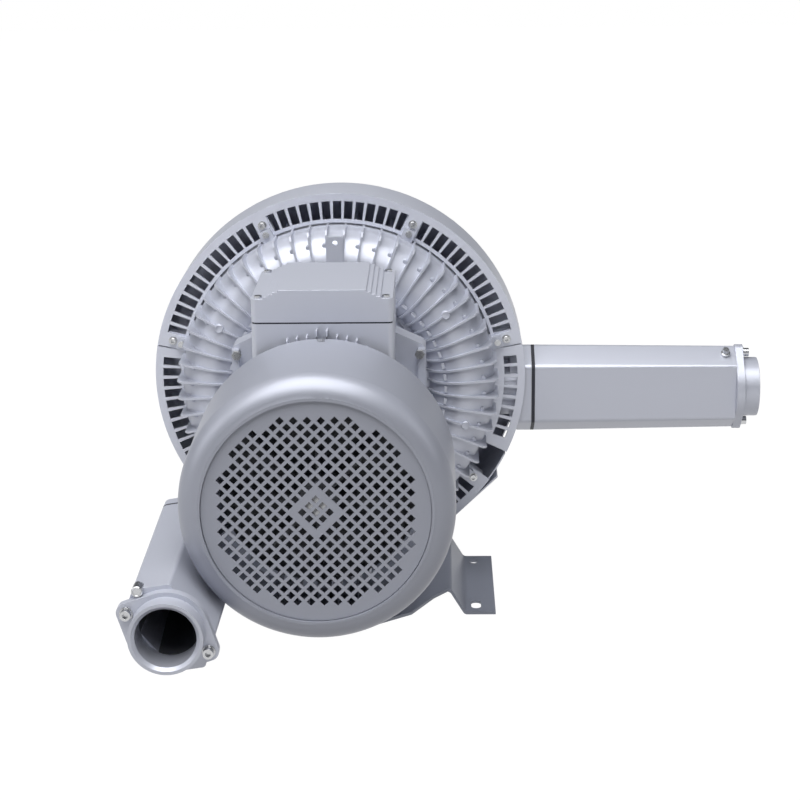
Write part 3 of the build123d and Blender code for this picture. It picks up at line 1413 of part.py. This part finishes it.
# ---- inlet pipe: from the silencer's adaptor under the motor to the flange on the front casting ------
with BuildPart() as inlet_pipe:
    with BuildSketch(face_plane(inlet_boss_y)):
        with Locations((inlet_x, -inlet_drop)):
            Circle(inlet_pipe_radius)
    extrude(amount=inlet_boss_y - inlet_root_y - port_gasket - adaptor_flange)
    with BuildSketch(face_plane(inlet_boss_y)):
        with Locations((inlet_x, -inlet_drop)):
            Circle(port_boss_flange)
    extrude(amount=port_flange)
    with BuildSketch(face_plane(inlet_boss_y)):
        with Locations((inlet_x, -inlet_drop)):
            Circle(port_radius)
    extrude(amount=inlet_boss_y - inlet_root_y, mode=Mode.SUBTRACT)
inlet_pipe.part.label = "inlet_pipe"
export_step(inlet_pipe.part, "parts/inlet_pipe.step")

# ---- cowl screws ---------------------------------------------------------------------------------
with BuildPart() as cowl_screws:
    with BuildSketch(*[plane.offset(cowl_radius) for plane in cowl_screw_planes]):
        Circle(2 * cowl_screw_radius)
    extrude(amount=cowl_screw_radius)
    with BuildSketch(*[plane.offset(cowl_radius) for plane in cowl_screw_planes]):
        Circle(cowl_screw_radius - seat)
    extrude(amount=-cowl_screw_reach)
cowl_screws.part.label = "cowl_screws"
export_step(cowl_screws.part, "parts/cowl_screws.step")
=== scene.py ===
import json
import math

import bmesh
import bpy
from mathutils import Matrix, Vector


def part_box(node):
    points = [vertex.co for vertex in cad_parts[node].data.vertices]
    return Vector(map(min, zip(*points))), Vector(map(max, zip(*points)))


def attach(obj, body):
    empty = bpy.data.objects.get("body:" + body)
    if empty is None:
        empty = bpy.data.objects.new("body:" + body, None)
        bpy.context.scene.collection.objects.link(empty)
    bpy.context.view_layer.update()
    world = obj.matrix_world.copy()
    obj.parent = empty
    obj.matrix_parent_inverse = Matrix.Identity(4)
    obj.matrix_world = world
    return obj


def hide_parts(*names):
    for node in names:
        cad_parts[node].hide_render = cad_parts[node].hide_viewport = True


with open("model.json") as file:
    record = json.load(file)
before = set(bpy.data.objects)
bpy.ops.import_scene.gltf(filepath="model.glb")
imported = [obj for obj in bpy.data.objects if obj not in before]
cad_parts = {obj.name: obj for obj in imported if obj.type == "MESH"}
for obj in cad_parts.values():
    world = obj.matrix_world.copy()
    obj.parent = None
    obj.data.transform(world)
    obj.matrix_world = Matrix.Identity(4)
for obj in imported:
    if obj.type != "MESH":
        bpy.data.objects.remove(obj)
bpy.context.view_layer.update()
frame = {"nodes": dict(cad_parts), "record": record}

nodes = frame["nodes"]
bodies = frame["record"]["behaviour"]["bodies"]
body_of = {name: body for body, members in bodies.items() for name in members}


# ==== foot ========================================================================================
# One steel sheet bent to a hat section, dip-painted dark grey, with round holes behind and slots in
# front. Four hexagon bolts come up through its deck into the two cast legs of the compressor.
def linear(code):
    """sRGB hex such as C4C7D2 as linear red, green, blue and one."""
    steps = [int(code[k:k + 2], 16) / 255 for k in (0, 2, 4)]
    return [s / 12.92 if s <= 0.04045 else ((s + 0.055) / 1.055) ** 2.4 for s in steps] + [1.0]


def add_node(tree, kind, settings=None, links=None):
    """A node in a tree: settings are its fields or its inputs, links join its inputs to outputs."""
    node = tree.nodes.new(kind)
    for key, value in (settings or {}).items():
        if isinstance(key, str) and hasattr(node, key):
            setattr(node, key, value)
        else:
            node.inputs[key].default_value = value
    for key, socket in (links or {}).items():
        tree.links.new(socket, node.inputs[key])
    return node


def start_material(name, code, metallic, roughness):
    """A named material with its main constants on the shader; returns it with its tree and shader."""
    material = bpy.data.materials.new(name)
    material.use_nodes = True
    tree = material.node_tree
    shader = tree.nodes["Principled BSDF"]
    shader.inputs["Base Color"].default_value = linear(code)
    shader.inputs["Metallic"].default_value = metallic
    shader.inputs["Roughness"].default_value = roughness
    return material, tree, shader


def grain(tree, shader, grain_mm, depth_mm, roughness, spread):
    """Surface grain of a real size: bump of a depth, and a roughness that wanders by the spread.

    Paint's orange peel is 1.5 to 3 mm across. Grit and grind marks are finer than the picture can
    show, so they are drawn about 1 mm across.
    """
    place = add_node(tree, "ShaderNodeTexCoord")
    noise = add_node(
        tree, "ShaderNodeTexNoise",
        {"Scale": 1000 / grain_mm, "Detail": 3.0, "Roughness": 0.55},
        {"Vector": place.outputs["Object"]},
    )
    bump = add_node(
        tree, "ShaderNodeBump",
        {"Strength": 1.0, "Distance": depth_mm / 1000},
        {"Height": noise.outputs["Fac"]},
    )
    wander = add_node(
        tree, "ShaderNodeMapRange",
        {"To Min": roughness - spread, "To Max": roughness + spread},
        {"Value": noise.outputs["Fac"]},
    )
    tree.links.new(bump.outputs["Normal"], shader.inputs["Normal"])
    tree.links.new(wander.outputs["Result"], shader.inputs["Roughness"])


SHARP_EDGE = math.radians(32)
FLAT_ENOUGH = math.radians(0.5)


def tidy_mesh(mesh):
    """Merges the loose triangles of a CAD mesh, joins flat ones and marks its sharp edges."""
    shape = bmesh.new()
    shape.from_mesh(mesh)
    bmesh.ops.remove_doubles(shape, verts=shape.verts, dist=2e-6)
    bmesh.ops.dissolve_limit(shape, angle_limit=FLAT_ENOUGH, verts=shape.verts, edges=shape.edges)
    for face in shape.faces:
        face.smooth = True
    for edge in shape.edges:
        edge.smooth = len(edge.link_faces) == 2 and edge.calc_face_angle() < SHARP_EDGE
    shape.to_mesh(mesh)
    shape.free()


def place_piece(name, mesh, material, body, stands_for=()):
    """A finished piece at the origin, with its material, riding on its body."""
    obj = bpy.data.objects.new(name, mesh)
    bpy.context.scene.collection.objects.link(obj)
    mesh.materials.clear()
    mesh.materials.append(material)
    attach(obj, body)
    if stands_for:
        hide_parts(*stands_for)
    return obj


def dress(node, material, edge_mm=0.0):
    """The CAD piece with clean shading and slightly broken edges, in place of its node."""
    mesh = nodes[node].data.copy()
    mesh.name = node + "_mesh"
    for attribute in ("custom_normal", "sharp_face", "sharp_edge"):
        if attribute in mesh.attributes:
            mesh.attributes.remove(mesh.attributes[attribute])
    tidy_mesh(mesh)
    obj = place_piece(node + "_skin", mesh, material, body_of[node], [node])
    if edge_mm:
        bevel = obj.modifiers.new("broken_edges", "BEVEL")
        bevel.width = edge_mm / 1000
        bevel.segments = 2
        bevel.limit_method = "ANGLE"
        bevel.angle_limit = SHARP_EDGE
        bevel.harden_normals = True
    return obj


# Dip enamel: dark grey and half glossy, with a faint orange peel.
grey_enamel, tree, shader = start_material("grey_dip_enamel", "8B8F9B", 0.3, 0.38)
grain(tree, shader, 2.5, 0.03, 0.38, 0.05)
# Zinc plate on steel: bright neutral metal with small sharp glints.
zinc_steel, tree, shader = start_material("zinc_plated_steel", "C3C4C6", 1.0, 0.28)
grain(tree, shader, 1.0, 0.005, 0.28, 0.06)
dress("foot_bracket", grey_enamel, 0.6)
dress("leg_bolts", zinc_steel, 0.3)

# ==== motor =======================================================================================
# A die-cast aluminium frame with cooling fins between two end shields, painted silver and glossy.
# Four hexagon bolts hold its square flange, and eight hold the neck against the compressor.
# Silver flake paint on a cast skin: pale, half metallic, with broad highlights and a soft grain.
cast_paint, tree, shader = start_material("silver_paint_on_castings", "C2C5D0", 0.42, 0.41)
grain(tree, shader, 3.0, 0.05, 0.41, 0.06)
# Ground steel: cool and bright.
bright_steel, tree, shader = start_material("ground_steel", "B4B5B8", 1.0, 0.25)
grain(tree, shader, 0.8, 0.004, 0.25, 0.05)
# Laminated core: dull dark steel, hidden in the frame.
core_steel, tree, shader = start_material("laminated_core_steel", "6E6F73", 0.8, 0.55)
# Machined aluminium: light, with its highlights spread by the tool marks.
bare_aluminium, tree, shader = start_material("machined_aluminium", "C9CACD", 1.0, 0.38)
# Varnished copper wire: dull red metal.
copper, tree, shader = start_material("varnished_copper_wire", "A8623A", 0.8, 0.4)
for node in ("motor_frame", "fan_end_shield", "drive_end_shield"):
    dress(node, cast_paint, 0.8)
for node in ("flange_bolts", "neck_bolts"):
    dress(node, zinc_steel, 0.4)
for node, material in (
    ("stator_core", core_steel),
    ("rotor_core", core_steel),
    ("rotor_end_rings", bare_aluminium),
    ("stator_windings", copper),
    ("motor_shaft", bright_steel),
    ("impeller_key", bright_steel),
    ("shaft_nut", bright_steel),
):
    dress(node, material)
for end in ("fan_end", "drive_end"):
    for ring in ("outer_race", "inner_race", "rollers"):
        dress(f"{end}_bearing_{ring}", bright_steel)

# ==== crown fins ==================================================================================
# The motor frame's fins end in a short row of upright tips between the cowl's edge and the terminal
# box. They are cast with the frame, and the two in the middle stand taller.
AXIS_Z = 0.365
COWL_BACK_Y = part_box("fan_cowl")[1][1]
BOX_FRONT_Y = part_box("terminal_box_base")[0][1]


def ring_tree():
    """Geometry nodes that set pieces round the shaft, each turned so that its X points outwards."""
    tree = bpy.data.node_groups.new("pieces_round_the_shaft", "GeometryNodeTree")
    for label, kind in (
        ("Geometry", "NodeSocketGeometry"), ("Count", "NodeSocketInt"),
        ("Radius", "NodeSocketFloat"), ("Start", "NodeSocketFloat"),
        ("Step", "NodeSocketFloat"), ("Station", "NodeSocketFloat"),
        ("Axis Height", "NodeSocketFloat"), ("Piece", "NodeSocketObject"),
        ("Material", "NodeSocketMaterial"),
    ):
        tree.interface.new_socket(label, in_out="INPUT", socket_type=kind)
    tree.interface.new_socket("Geometry", in_out="OUTPUT", socket_type="NodeSocketGeometry")
    given = add_node(tree, "NodeGroupInput").outputs
    index = add_node(tree, "GeometryNodeInputIndex")
    angle = add_node(
        tree, "ShaderNodeMath", {"operation": "MULTIPLY_ADD"},
        {0: index.outputs[0], 1: given["Step"], 2: given["Start"]},
    )
    cosine = add_node(tree, "ShaderNodeMath", {"operation": "COSINE"}, {0: angle.outputs[0]})
    sine = add_node(tree, "ShaderNodeMath", {"operation": "SINE"}, {0: angle.outputs[0]})
    across = add_node(
        tree, "ShaderNodeMath", {"operation": "MULTIPLY"},
        {0: cosine.outputs[0], 1: given["Radius"]},
    )
    up = add_node(
        tree, "ShaderNodeMath", {"operation": "MULTIPLY_ADD"},
        {0: sine.outputs[0], 1: given["Radius"], 2: given["Axis Height"]},
    )
    place = add_node(
        tree, "ShaderNodeCombineXYZ", None,
        {"X": across.outputs[0], "Y": given["Station"], "Z": up.outputs[0]},
    )
    back = add_node(
        tree, "ShaderNodeMath", {"operation": "MULTIPLY", 1: -1.0}, {0: angle.outputs[0]}
    )
    turn = add_node(tree, "ShaderNodeCombineXYZ", None, {"Y": back.outputs[0]})
    points = add_node(
        tree, "GeometryNodePoints", None, {"Count": given["Count"], "Position": place.outputs[0]}
    )
    piece = add_node(tree, "GeometryNodeObjectInfo", None, {"Object": given["Piece"]})
    placed = add_node(
        tree, "GeometryNodeInstanceOnPoints", None,
        {
            "Points": points.outputs[0],
            "Instance": piece.outputs["Geometry"],
            "Rotation": turn.outputs[0],
        },
    )
    real = add_node(tree, "GeometryNodeRealizeInstances", None, {"Geometry": placed.outputs[0]})
    finish = add_node(
        tree, "GeometryNodeSetMaterial", None,
        {"Geometry": real.outputs[0], "Material": given["Material"]},
    )
    result = add_node(tree, "NodeGroupOutput")
    tree.links.new(finish.outputs[0], result.inputs[0])
    return tree


round_tree = ring_tree()
round_socket = {
    item.name: item.identifier
    for item in round_tree.interface.items_tree
    if item.in_out == "INPUT"
}


def round_the_shaft(
    name, piece, material, body, count, radius, start, step, station, stands_for=()
):
    """Copies of a mesh set round the shaft, made into one plain mesh. Start and step are in degrees."""
    sample = bpy.data.objects.new(name + "_sample", piece)
    bpy.context.scene.collection.objects.link(sample)
    host = bpy.data.objects.new(name + "_host", bpy.data.meshes.new(name + "_host"))
    bpy.context.scene.collection.objects.link(host)
    pattern = host.modifiers.new("pattern", "NODES")
    pattern.node_group = round_tree
    for label, value in (
        ("Count", count), ("Radius", radius), ("Start", math.radians(start)),
        ("Step", math.radians(step)), ("Station", station), ("Axis Height", AXIS_Z),
        ("Piece", sample), ("Material", material),
    ):
        pattern[round_socket[label]] = value
    bpy.context.view_layer.update()
    graph = bpy.context.evaluated_depsgraph_get()
    mesh = bpy.data.meshes.new_from_object(host.evaluated_get(graph))
    mesh.name = name
    bpy.data.objects.remove(host)
    bpy.data.objects.remove(sample)
    return place_piece(name, mesh, material, body, stands_for)


def block(name, low, high, edge):
    """A plain box between two corners, with its edges broken."""
    mesh = bpy.data.meshes.new(name)
    shape = bmesh.new()
    bmesh.ops.create_cube(shape, size=1)
    middle = [(a + b) / 2 for a, b in zip(low, high)]
    span = [b - a for a, b in zip(low, high)]
    placing = Matrix.Translation(middle) @ Matrix.Diagonal((*span, 1))
    bmesh.ops.transform(shape, matrix=placing, verts=shape.verts)
    bmesh.ops.bevel(
        shape, geom=shape.edges[:], offset=edge, segments=2, affect="EDGES", profile=0.6
    )
    shape.to_mesh(mesh)
    shape.free()
    return mesh


FIN_THICK = 0.0028
FIN_EDGE = 0.0007
FIN_ROOT_RADIUS = 0.2
FIN_SUNK = 0.012              # how far each tip reaches down into the frame
FIN_PITCH = 0.0155            # along the arc of the tips
FIN_TIP_RADIUS = 0.207
FIN_STEP = math.degrees(FIN_PITCH / FIN_TIP_RADIUS)
for name, reach, count in (("crown_fins_low", 0.211, 8), ("crown_fins_tall", 0.2195, 2)):
    fin = block(
        name, (-FIN_SUNK, 0, -FIN_THICK / 2),
        (reach - FIN_ROOT_RADIUS, BOX_FRONT_Y - COWL_BACK_Y, FIN_THICK / 2), FIN_EDGE,
    )
    first = 90 - (count - 1) / 2 * FIN_STEP
    round_the_shaft(
        name, fin, cast_paint, body_of["motor_frame"],
        count, FIN_ROOT_RADIUS, first, FIN_STEP, COWL_BACK_Y,
    )

# ==== fan cowl ====================================================================================
# A drawn steel bell with a rolled rim round a perforated intake plate, powder-coated silver. Three
# screws hold its skirt. The grey nylon fan behind the plate blows air along the motor's fins.
# Silver powder coat: a shade darker than the castings, satin, with a fine orange peel.
coated_steel, tree, shader = start_material("silver_powder_coat", "9FA2AD", 0.3, 0.4)
grain(tree, shader, 1.6, 0.02, 0.4, 0.04)
# Moulded nylon: plain grey and satin.
grey_nylon, tree, shader = start_material("grey_moulded_nylon", "6E7076", 0.0, 0.45)
grain(tree, shader, 1.2, 0.02, 0.45, 0.06)
dress("fan_cowl", coated_steel, 0.5)
dress("intake_grille", coated_steel)
dress("cowl_screws", zinc_steel, 0.3)
dress("cooling_fan", grey_nylon, 0.4)

# ==== terminal box ================================================================================
# A cast base that saddles the motor, a black flat gasket and a terraced cast lid with four screws.
# Inside are the terminal block and its studs; two blind plugs close the cable entries behind.
# Moulded nylon, black: satin, with a fine spark-eroded grain.
black_plastic, tree, shader = start_material("black_moulded_nylon", "26272B", 0.0, 0.5)
grain(tree, shader, 1.2, 0.02, 0.5, 0.06)
# Rubber: blue-black and matt, so that it reads as a thin dark line between the castings.
black_rubber, tree, shader = start_material("black_rubber", "2B2C34", 0.0, 0.62)
grain(tree, shader, 0.8, 0.02, 0.62, 0.05)
# Turned brass: yellow metal.
brass, tree, shader = start_material("turned_brass", "C9A55A", 1.0, 0.35)
for node in ("terminal_box_base", "terminal_box_lid"):
    dress(node, cast_paint, 1.2)
dress("terminal_box_gasket", black_rubber)
dress("lid_screws", zinc_steel, 0.3)
dress("terminal_block", black_plastic)
dress("terminal_studs", brass)
dress("cable_plugs", black_plastic, 0.5)

# ==== compressor ==================================================================================
# Two ribbed castings hold the side channels, with a flat partition and two bladed wheels between
# them. Rubber seals wipe the hubs, and seven bolts clamp the whole through ears and arms.
for node in ("front_casting", "rear_casting"):
    dress(node, cast_paint, 0.8)
for node in ("partition_disc", "impeller_stage_1", "impeller_stage_2"):
    dress(node, bare_aluminium)
dress("shaft_seals", black_rubber)


def turned(name, profile, facets=28):
    """A turned piece along Y from points of (radius, y), closed at both ends."""
    mesh = bpy.data.meshes.new(name)
    shape = bmesh.new()
    rings = []
    for radius, along in profile:
        if radius == 0:
            rings.append([shape.verts.new((0, along, 0))])
            continue
        turns = [2 * math.pi * k / facets for k in range(facets)]
        rings.append([
            shape.verts.new((radius * math.cos(t), along, radius * math.sin(t))) for t in turns
        ])
    for near, far in zip(rings, rings[1:]):
        for k in range(facets):
            after = k + 1
            loop = [
                near[k % len(near)], near[after % len(near)],
                far[after % len(far)], far[k % len(far)],
            ]
            shape.faces.new(list(dict.fromkeys(loop)))
    bmesh.ops.recalc_face_normals(shape, faces=shape.faces)
    for face in shape.faces:
        face.smooth = True
    for edge in shape.edges:
        edge.smooth = edge.calc_face_angle(0) < SHARP_EDGE
    shape.to_mesh(mesh)
    shape.free()
    return mesh


RIB_COUNT = 56
RIB_STEP = 360 / RIB_COUNT
CHANNEL_RADIUS = 0.225
CHANNEL_Y = 0.084
CHANNEL_BACK = 0.06


def channel_back(radius):
    """How far forward the round back of the first channel stands at a radius."""
    return CHANNEL_Y - math.sqrt(CHANNEL_BACK**2 - (radius - CHANNEL_RADIUS) ** 2)


EJECTOR_RADIUS = 0.264
EJECTOR_SHIFT = 0.66          # share of a rib step past the top rib's bay
ejector_boss = turned("ejector_boss", [
    (0, 0.012), (0.0042, 0.012), (0.0042, -0.0025), (0.003, -0.0038), (0, -0.0042),
], 14)
round_the_shaft(
    "ejector_bosses", ejector_boss, cast_paint, body_of["front_casting"], RIB_COUNT,
    EJECTOR_RADIUS, 90 + EJECTOR_SHIFT * RIB_STEP, RIB_STEP, channel_back(EJECTOR_RADIUS),
)
CREST_BOSS_RADIUS = 0.24
BOSSED_RIBS = (9, 47, 39)     # counted from the top, against the clock as the cowl faces the eye
big_boss = turned("big_boss", [
    (0, 0.014), (0.0078, 0.014), (0.0078, -0.006), (0.0066, -0.0075), (0.005, -0.0068),
    (0, -0.0068),
], 24)
for number, rib in enumerate(BOSSED_RIBS):
    round_the_shaft(
        f"rib_boss_{number + 1}", big_boss, cast_paint, body_of["front_casting"], 1,
        CREST_BOSS_RADIUS, 90 + (rib + 0.5) * RIB_STEP, 0, channel_back(CREST_BOSS_RADIUS),
    )
LUG_RADIUS = 0.195
LUG_EDGE = 0.0006
inner_lug = block("inner_lug", (-0.0025, -0.006, -0.0055), (0.0025, 0.008, 0.0055), LUG_EDGE)
round_the_shaft(
    "inner_lugs", inner_lug, cast_paint, body_of["front_casting"], RIB_COUNT,
    LUG_RADIUS, 90, RIB_STEP, channel_back(LUG_RADIUS),
)
dress("casing_bolts", zinc_steel, 0.3)
dress("rear_fan", black_plastic, 0.4)

# ==== guard and hood ==============================================================================
# The guard is a flat slotted ring of three sheet segments, each screwed to the casting's arms. The
# hood behind it is one drawn shell, and a flat strip closes it below the outlet.
# Silver flake paint on smooth sheet: as pale as the castings, with cleaner highlights.
sheet_paint, tree, shader = start_material("silver_paint_on_sheet", "CFD2DD", 0.42, 0.38)
grain(tree, shader, 2.2, 0.02, 0.38, 0.04)
for node in ("guard_upper", "guard_lower", "guard_right"):
    dress(node, sheet_paint, 0.5)
SCREW_COUNT = 7
SCREW_CIRCLE = 0.315
SCREW_START = 90 + 180 / SCREW_COUNT
WASHER = 0.008
HEAD = 0.0062
SOCKET = 0.0032
guard_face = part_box("guard_upper")[0][1]
socket_screw = turned("socket_screw", [
    (0, 0.004), (WASHER, 0.004), (WASHER, -0.0016), (HEAD, -0.0018), (HEAD, -0.0072),
    (HEAD - 0.0006, -0.0078), (SOCKET, -0.0078), (SOCKET, -0.0038), (0, -0.0034),
])
round_the_shaft(
    "guard_screws_with_washers", socket_screw, zinc_steel, body_of["guard_screws"], SCREW_COUNT,
    SCREW_CIRCLE, SCREW_START, 360 / SCREW_COUNT, guard_face, ["guard_screws"],
)
dress("hood", sheet_paint, 0.4)
dress("closing_sheet", sheet_paint, 0.4)

# ==== silencers ===================================================================================
# A cast hexagonal body with foam pads inside, a black gasket behind it and a hose spigot in front.
# One stands on the outlet to the right, its twin points forward on the inlet below the cowl.
# Open-cell foam: dark grey and quite matt, with pores of about 2 mm.
foam, tree, shader = start_material("open_cell_foam", "4A4B50", 0.0, 0.95)
grain(tree, shader, 2.0, 0.6, 0.95, 0.04)
for prefix in ("outlet", "inlet"):
    for node, material, edge_mm in (
        (f"{prefix}_adaptor", cast_paint, 0.8),
        (f"{prefix}_silencer_gasket", black_rubber, 0.0),
        (f"{prefix}_silencer", cast_paint, 0.8),
        (f"{prefix}_silencer_foam", foam, 0.0),
        (f"{prefix}_spigot", cast_paint, 0.8),
        (f"{prefix}_spigot_screws", zinc_steel, 0.4),
    ):
        dress(node, material, edge_mm)
TAP_PLACE = (0.716, 0.161, 0.395)
TAP_TILT = math.radians(-58.7)  # square to the silencer's upper slope
tap_plug = turned("tap_plug", [
    (0, 0.003), (0.0085, 0.003), (0.0085, -0.003), (0.006, -0.0035), (0.006, -0.011),
    (0.0052, -0.012), (0, -0.012),
])
tap_plug.transform(Matrix.Translation(TAP_PLACE) @ Matrix.Rotation(TAP_TILT, 4, "X"))
place_piece("tap_plug", tap_plug, zinc_steel, body_of["outlet_silencer"])
dress("inlet_pipe", cast_paint, 0.8)
plug_low, plug_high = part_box("inlet_drain_plug")
plug_place = [(a + b) / 2 for a, b in zip(plug_low, plug_high)]
drain_plug = turned("drain_plug", [
    (0, 0.016), (0.0085, 0.016), (0.0085, -0.006), (0.0073, -0.0072), (0.006, -0.0072),
    (0.0054, -0.0064), (0, -0.006),
])
PLUG_LIFT = 0.003             # out of the spigot ear's way, to the left and up
PLUG_STATION = 0.001          # of the turned piece's zero behind the solid's front
drain_plug.transform(Matrix.Translation((
    plug_place[0] - PLUG_LIFT, plug_low[1] + PLUG_STATION, plug_place[2] + PLUG_LIFT,
)))
place_piece(
    "drain_plug", drain_plug, zinc_steel, body_of["inlet_drain_plug"],
    ["inlet_drain_plug"],
)

# ==== studio ======================================================================================
# A pale floor that looks white to the eye, one wide lamp above and one to each side. The camera
# stands high in front of the cowl, a little to its right.
CAMERA_PLACE = Vector((0.17849, -3.44847, 1.30065))
CAMERA_FOCUS_PX = 1994.83
PICTURE_WIDTH_PX = 800
CAMERA_PITCH = math.radians(15.3635)
CAMERA_TURN = math.radians(-1.0921)
CAMERA_TILT = math.radians(-0.5737)
forward = Vector((
    math.sin(CAMERA_TURN) * math.cos(CAMERA_PITCH),
    math.cos(CAMERA_TURN) * math.cos(CAMERA_PITCH),
    -math.sin(CAMERA_PITCH),
))
level = Vector((math.cos(CAMERA_TURN), -math.sin(CAMERA_TURN), 0))
rise = level.cross(forward)
camera_x = math.cos(CAMERA_TILT) * level + math.sin(CAMERA_TILT) * rise
camera_y = -math.sin(CAMERA_TILT) * level + math.cos(CAMERA_TILT) * rise
lens = bpy.data.cameras.new("camera")
lens.sensor_width = 36
lens.lens = CAMERA_FOCUS_PX * lens.sensor_width / PICTURE_WIDTH_PX
camera = bpy.data.objects.new("camera", lens)
bpy.context.scene.collection.objects.link(camera)
camera_axes = Matrix((camera_x, camera_y, -forward)).transposed().to_4x4()
camera.matrix_world = Matrix.Translation(CAMERA_PLACE) @ camera_axes
bpy.context.scene.camera = camera
bpy.context.scene.view_settings.view_transform = "Standard"

FLOOR_HALF = 12.0
FLOOR_WHITE = 0.8             # share of plain white in what the eye and reflections see of the floor
FLOOR_GLOW = 1.25
corners = [(x, y, 0) for x, y in ((-1, -1), (1, -1), (1, 1), (-1, 1))]
floor_mesh = bpy.data.meshes.new("floor_mesh")
floor_mesh.from_pydata([(FLOOR_HALF * x, FLOOR_HALF * y, z) for x, y, z in corners], [], [(0, 1, 2, 3)])
floor = bpy.data.objects.new("floor", floor_mesh)
bpy.context.scene.collection.objects.link(floor)
# Matt floor paint: the eye and reflections see it nearly white, and the part's shadow stays on it.
floor_paint, tree, shader = start_material("matt_floor_paint", "73706E", 0.0, 0.9)
ray = add_node(tree, "ShaderNodeLightPath")
seen = add_node(
    tree, "ShaderNodeMath", {"operation": "MAXIMUM"},
    {0: ray.outputs["Is Camera Ray"], 1: ray.outputs["Is Glossy Ray"]},
)
seen = add_node(
    tree, "ShaderNodeMath", {"operation": "MAXIMUM"},
    {0: seen.outputs[0], 1: ray.outputs["Is Transmission Ray"]},
)
share = add_node(tree, "ShaderNodeMath", {"operation": "MULTIPLY", 1: FLOOR_WHITE}, {0: seen.outputs[0]})
glow = add_node(tree, "ShaderNodeEmission", {"Color": (1, 1, 1, 1), "Strength": FLOOR_GLOW})
pale = add_node(
    tree, "ShaderNodeMixShader", None,
    {0: share.outputs[0], 1: shader.outputs[0], 2: glow.outputs[0]},
)
tree.links.new(pale.outputs[0], tree.nodes["Material Output"].inputs["Surface"])
floor_mesh.materials.append(floor_paint)

world = bpy.data.worlds.new("studio")
bpy.context.scene.world = world
world.use_nodes = True
tree = world.node_tree
soft_sky = tree.nodes["Background"]
soft_sky.inputs["Color"].default_value = linear("E9EDF6")
soft_sky.inputs["Strength"].default_value = 0.17
ray = add_node(tree, "ShaderNodeLightPath")
seen = add_node(
    tree, "ShaderNodeMath", {"operation": "MAXIMUM"},
    {0: ray.outputs["Is Camera Ray"], 1: ray.outputs["Is Transmission Ray"]},
)
white_wall = add_node(tree, "ShaderNodeBackground", {"Color": (1, 1, 1, 1), "Strength": 1.0})
either = add_node(
    tree, "ShaderNodeMixShader", None,
    {0: seen.outputs[0], 1: soft_sky.outputs[0], 2: white_wall.outputs[0]},
)
tree.links.new(either.outputs[0], tree.nodes["World Output"].inputs["Surface"])

LAMP_AIM = Vector((0.1, -0.2, 0.35))
for name, place, size, power in (
    ("lamp_above", Vector((-0.3, -1.3, 3.2)), 3.2, 165),
    ("lamp_left", Vector((-3.0, -1.4, 1.6)), 1.6, 16),
    ("lamp_right", Vector((3.2, -1.2, 2.0)), 1.6, 9),
):
    light = bpy.data.lights.new(name, "AREA")
    light.size = size
    light.energy = power
    lamp = bpy.data.objects.new(name, light)
    bpy.context.scene.collection.objects.link(lamp)
    lamp.location = place
    lamp.rotation_euler = (LAMP_AIM - place).to_track_quat("-Z", "Y").to_euler()
